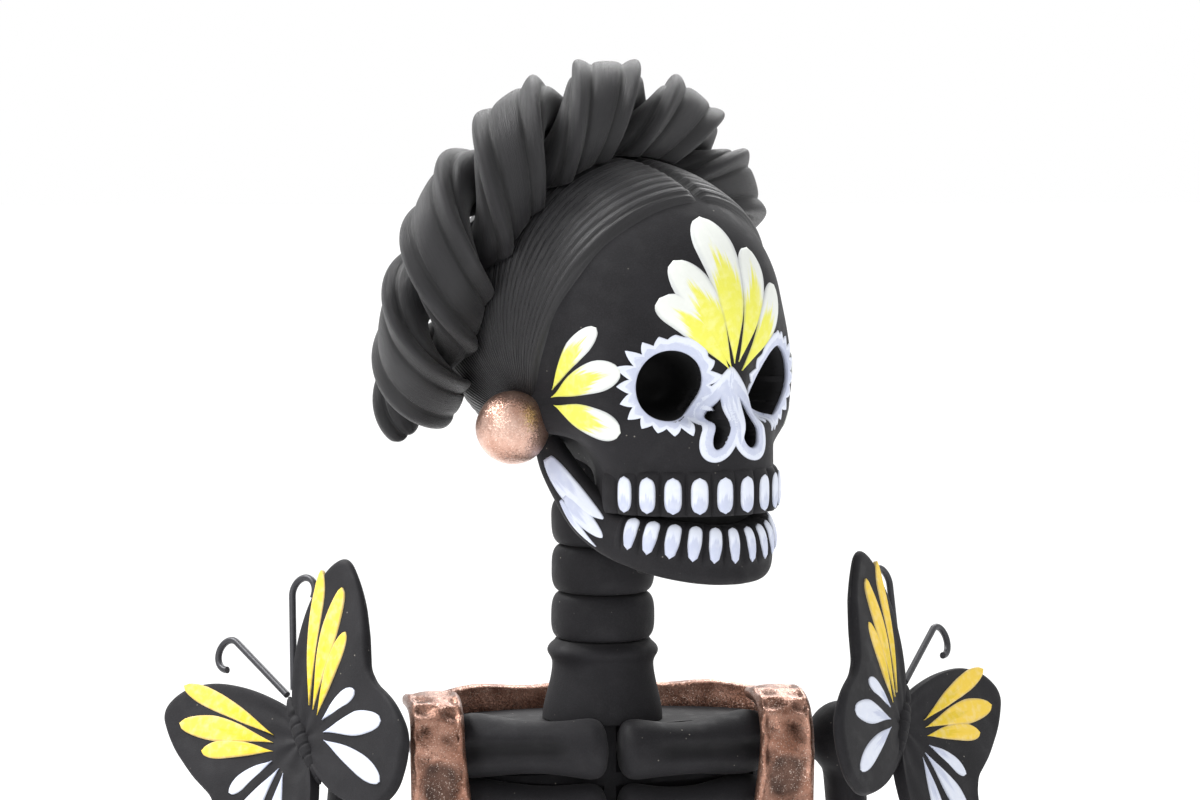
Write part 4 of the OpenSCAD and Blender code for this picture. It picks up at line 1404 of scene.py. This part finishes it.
fan = [((0, 0), (0, 30), 8.0, 0), ((-1.6, -1), (-12, 23), 7.0, 0.8), ((1.6, -1), (12, 23), 7.0, -0.8),
       ((-2.6, -3), (-20, 11), 6.4, 1.2), ((2.6, -3), (20, 11), 6.4, -1.2)]
fan_count, hem_drops, knee_drops = 8, 72, 16
lift = np.array([0.0, 42.0])
fans, laces = [], []
for k in range(fan_count):
    turn = math.radians(-90 + 360 / fan_count * k)
    for j, (root, tip, width, bow) in enumerate(fan):
        fans.append(skirt_stroke(lift + root, lift + tip, width, bow, turn, k + j * 1.7))
    for j, (x, z, size) in enumerate([(-5, 33, 5.0), (0, 31, 6.0), (5, 33, 5.0)]):
        laces.append(skirt_stroke((x * 0.6, z + 4), (x * 1.6, z - size), 3.0, 0, turn, k + j, 0.76, 18, 7))
for k in range(hem_drops):
    turn = math.radians(360 / hem_drops * k)
    laces.append(skirt_stroke((0, 26.0), (0, 19.5), 3.4, 0, turn, k * 0.7, 0.6, 12, 5))
for k in range(knee_drops):
    turn = math.radians(360 / knee_drops * k)
    laces.append(skirt_stroke((0, 164), (0, 150), 3.4, 0, turn, k * 0.9, 0.76, 16, 7))
piece("skirt_fans", fans, "figure", petal_paint)
piece("skirt_lace", laces, "figure", white_paint)

# %% [markdown]
# ## Arms
# An arm bone is a shaft with a knob at each end. Its profile is the largest of the shaft and the
# two knobs' circles, softened where they meet, and it is carried along a straight line.

# %% Arm bones
def bone_grid(start, finish, knob_a, shaft, knob_b, seed):
    """Radius along the bone: a soft maximum of knob a, the shaft with a slight waist, and knob b."""
    start, finish = np.array(start), np.array(finish)
    long = np.linalg.norm(finish - start)
    ahead = (finish - start) / long
    d = np.concatenate([-knob_a * np.cos(np.linspace(0.05, np.pi / 2, 14)),
                        np.linspace(0, long, 80)[1:-1],
                        long + knob_b * np.sin(np.linspace(0, np.pi / 2 - 0.05, 14))])
    first = np.sqrt(np.clip(knob_a**2 - d**2, 0, None))
    last = np.sqrt(np.clip(knob_b**2 - (d - long) ** 2, 0, None))
    waist = np.where((d > 0) & (d < long), shaft * (0.94 + 0.06 * np.cos(2 * np.pi * d / long)), 0.0)
    radius = (first**6 + last**6 + waist**6) ** (1 / 6)
    radius = np.minimum(radius, np.maximum(np.maximum(first, last), waist) * 1.04) * 0.975
    points = tube(start + d[:, None] * ahead, radius, 72)
    axis = (start + d[:, None] * ahead)[:, None]
    points = axis + (points - axis) * (1 + hand_worked(points + seed, 4.5, 0.012)[..., None])
    return net(points)


shoulder_knob, elbow_knob, forearm_knob, wrist_knob, shaft_r = 5.2, 4.5, 4.1, 2.7, 3.2
low, high = box("upper_arm_left")
shoulder_joint = np.array([low[0] + shoulder_knob, low[1] + shoulder_knob, high[2] - shoulder_knob])
elbow = np.array([high[0] - elbow_knob, high[1] - elbow_knob, low[2] + elbow_knob])
low, high = box("forearm_left")
forearm_start = high - forearm_knob
wrist = np.array([low[0] + 2.8, low[1] + 2.7, low[2] + 2.7])
print("shoulder joint", shoulder_joint.round(1), "elbow", elbow.round(1), "wrist", wrist.round(1))
for side, name in both_sides:
    flip = np.array([side, 1, 1])
    upper = bone_grid(shoulder_joint * flip, elbow * flip, shoulder_knob, shaft_r, elbow_knob, 1.0)
    piece(f"arm_bone_{name}", upper, "figure", clay, [f"upper_arm_{name}"])
    lower = bone_grid(forearm_start * flip, wrist * flip, forearm_knob, shaft_r, wrist_knob, 2.0)
    piece(f"forearm_bone_{name}", lower, "figure", clay, [f"forearm_{name}"])

# %% [markdown]
# ## Butterflies
# A butterfly sits on each shoulder. Its wings are thin leaves of clay with a scalloped outline,
# and each half has three golden brush strokes above and three white ones below. It is built flat,
# head up, then tilted back, turned outward and set on its shoulder; the other side mirrors it.

# %% Wing outline and placing
wing_l, wing_t, wing_rise = 21.0, 1.8, math.radians(10)
wing_angle = np.radians([-88, -75, -64, -53, -42, -33, -20, -8, 2, 10, 21, 32, 42, 50, 57, 64, 72,
                         80, 88])
wing_reach = np.array([.22, .62, .93, 1.04, 1.06, 1.05, .93, .80, .78, .84, .96, 1.12, 1.265, 1.17,
                       .98, .72, .48, .33, .25]) * wing_l
fly_at = shoulder_joint + [7.0, -5.5, 2.0]


def turn_about(axis, degrees):
    """The matrix that turns about x or y."""
    c, s = math.cos(math.radians(degrees)), math.sin(math.radians(degrees))
    i, j = {"x": (1, 2), "y": (2, 0)}[axis]
    turn = np.eye(3)
    turn[i, i], turn[i, j], turn[j, i], turn[j, j] = c, -s, s, c
    return turn


fly_turn = turn_about("y", 19) @ turn_about("x", 50) @ turn_about("y", 35)


def perched(points, side):
    """From the butterfly's own flat axes to its place on a shoulder."""
    return (points @ fly_turn.T + fly_at) * [side, 1, 1]


def wing_height(x, y):
    """How high a flat wing's middle lies: the rise of its plane, and a little camber."""
    return np.abs(x) * math.tan(wing_rise) + 0.54 * np.sin(np.clip(np.hypot(x, y) / wing_l, 0, 1) * np.pi)


def wing_grid(outer, side):
    """Rows are angles round the wing; columns run out along its top and back along its underside."""
    a = np.linspace(wing_angle[0], wing_angle[-1], 220)[:, None]
    reach = np.interp(a, wing_angle, wing_reach)
    soft = np.ones(9) / 9
    reach[4:-4, 0] = np.convolve(reach[:, 0], soft, "valid")
    edge = np.linspace(0, np.pi / 2, 10)[None]
    flat = np.linspace(0.03, 0.95, 26)[None]
    share = np.concatenate([flat, 0.95 + 0.05 * np.sin(edge[:, 1:])], 1)
    half = np.concatenate([0 * flat + 1, np.cos(edge[:, 1:])], 1) * wing_t / 2
    share, half = np.concatenate([share, share[:, ::-1]], 1), np.concatenate([half, -half[:, ::-1]], 1)
    x, y = reach * share * np.cos(a) * outer, reach * share * np.sin(a)
    ripple = 0.12 * np.sin(share * 9) * np.sin(7 * a) * np.sign(half)
    return net(perched(xyz(x, y, wing_height(x, y) + half + ripple), side))


def wing_stroke(root, tip, width, outer, side, seed):
    """A leaf drawn in the wing's flat axes and laid on its top."""
    root, tip = np.array(root) * wing_l, np.array(tip) * wing_l
    flat, place = leaf(root, tip, width * wing_l, 0.3, 34, 13, 0.66, seed)
    x, y = flat[..., 0] * outer, flat[..., 1]
    top = xyz(x, y, wing_height(x, y) + wing_t / 2 + 0.02)
    up = np.array([-math.sin(wing_rise) * outer, 0, math.cos(wing_rise)]) @ fly_turn.T * [side, 1, 1]
    return laid_stroke(perched(top, side), np.broadcast_to(up, top.shape), place)


# %% Bodies, wings and their paint
# Root, tip and width of each stroke, as shares of the wing's length
golden_strokes = [((.18, .15), (.70, .90), .13), ((.20, .10), (.82, .66), .17),
                  ((.22, .04), (.72, .36), .13)]
white_strokes = [((.25, -.02), (.62, -.05), .11), ((.22, -.10), (.74, -.38), .16),
                 ((.20, -.15), (.54, -.72), .14)]


def fly_body_grid(side):
    """A spindle along the back with a crease every few millimetres and a round head."""
    t = np.linspace(0, 1, 120)
    spindle = np.sqrt(np.clip(np.sin(np.pi * np.clip(t, 0.004, 0.996)), 0, 1))
    creases = (t > 0.3) * np.clip(np.cos((t - 0.24) * 55), 0, 1) ** 4
    r = 1.65 * spindle * (1 - 0.25 * bell(t, 0.24, 0.03)) * (1 - 0.10 * creases) * (1 - 0.30 * t)
    path = xyz(0, 7.5 - 15 * t, 0.5)
    return net(perched(tube(path, r, 48, (0.0, 0.0, 1.0)), side))


for side, name in both_sides:
    piece(f"fly_body_{name}", fly_body_grid(side), "figure", clay, [f"butterfly_body_{name}"])
    for outer, which in ((1, "outer"), (-1, "inner")):
        piece(f"fly_{which}_wing_{name}", wing_grid(outer, side), "figure", clay,
              [f"butterfly_{which}_wing_{name}"])
    for finish, strokes, word in ((golden_paint, golden_strokes, "gold"),
                                  (white_paint, white_strokes, "white")):
        piece(f"fly_{word}_{name}", [wing_stroke(*stroke, outer, side, k * 1.9) for outer in (1, -1)
                                     for k, stroke in enumerate(strokes)], "figure", finish)

# %% [markdown]
# ## What stays as the frame made it
# The rods, pegs, wires, hands and the core of the chest keep their exact CAD shape and only get a
# finish: steel for what joins, dark wire for the feelers, and clay for the rest.

# %% Finishes on the frame's own nodes
finishes = {"rod": steel, "pin": steel, "peg": steel, "feelers": black_wire, "stem": black_wire,
            "hand": clay, "torso_core": clay}
for name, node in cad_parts.items():
    finish = next((made for word, made in finishes.items() if word in name), None)
    if finish is not None:
        node.data.materials.clear()
        node.data.materials.append(finish)
print("finished nodes:", sum(any(word in name for word in finishes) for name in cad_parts))

# %% [markdown]
# ## A light tent
# The figure stands on a plain white floor inside soft white light. The main lamp hangs high at the
# left and a little behind, a weaker one fills in from the left front, and a third lights the hair
# from behind, so that the black clay shows its form by sheen alone.

# %% Floor, light and camera
def make_floor():
    bench = Bench("floor_white", Base_Color=(0.82, 0.82, 0.82, 1.0), Roughness=0.9, Specular_IOR_Level=0.1,
                  Emission_Color=(1.0, 1.0, 1.0, 1.0), Emission_Strength=0.34)
    reach = 30.0
    mesh = bpy.data.meshes.new("floor")
    corners = [(x * reach, y * reach, 0) for x, y in ((-1, -1), (1, -1), (1, 1), (-1, 1))]
    mesh.from_pydata(corners, [], [(0, 1, 2, 3)])
    mesh.materials.append(bench.material)
    floor = bpy.data.objects.new("floor", mesh)
    bpy.context.scene.collection.objects.link(floor)


def lamp(name, place, aim, size, power):
    """A square panel of light at a place, turned to face another."""
    data = bpy.data.lights.new(name, "AREA")
    data.shape, data.size, data.energy = "SQUARE", size, power
    light = bpy.data.objects.new(name, data)
    bpy.context.scene.collection.objects.link(light)
    light.location = place
    light.rotation_euler = (Vector(aim) - Vector(place)).to_track_quat("-Z", "Y").to_euler()


make_floor()
face_over_neck = 7.0
face_height = (neck_top + face_over_neck) / MM
lamp("key", (-0.75, 0.35, 1.45), (0, 0, face_height), 0.5, 24.0)
lamp("fill", (-1.2, -1.0, 1.1), (0, 0, face_height), 0.6, 7.0)
lamp("back", (0.5, 1.4, 1.5), (0, 0, face_height), 0.8, 16.0)
world = bpy.data.worlds.new("tent")
world.use_nodes = True
sky = world.node_tree.nodes["Background"].inputs
sky["Color"].default_value, sky["Strength"].default_value = (1.0, 1.0, 1.0, 1.0), 1.0
bpy.context.scene.world = world
bpy.context.scene.view_settings.view_transform = "Standard"

# %% [markdown]
# The camera looks slightly down at the face from a little to the figure's right, through a long
# lens from half a metre, as for a portrait.

# %% Camera
def portrait_camera():
    azimuth, elevation, far = math.radians(-8), math.radians(4), 0.5
    aim = Vector((0, 0, face_height))
    back = Vector((math.sin(azimuth) * math.cos(elevation), -math.cos(azimuth) * math.cos(elevation),
                   math.sin(elevation)))
    right = Vector((math.cos(azimuth), math.sin(azimuth), 0))
    data = bpy.data.cameras.new("portrait")
    data.lens, data.sensor_width = 105, 36
    nudge = 0.0004
    camera = bpy.data.objects.new("portrait", data)
    bpy.context.scene.collection.objects.link(camera)
    camera.location = aim + back * far - right * nudge
    camera.rotation_euler = (-back).to_track_quat("-Z", "Y").to_euler()
    bpy.context.scene.camera = camera
    print("camera at", tuple(round(c, 3) for c in camera.location))


portrait_camera()
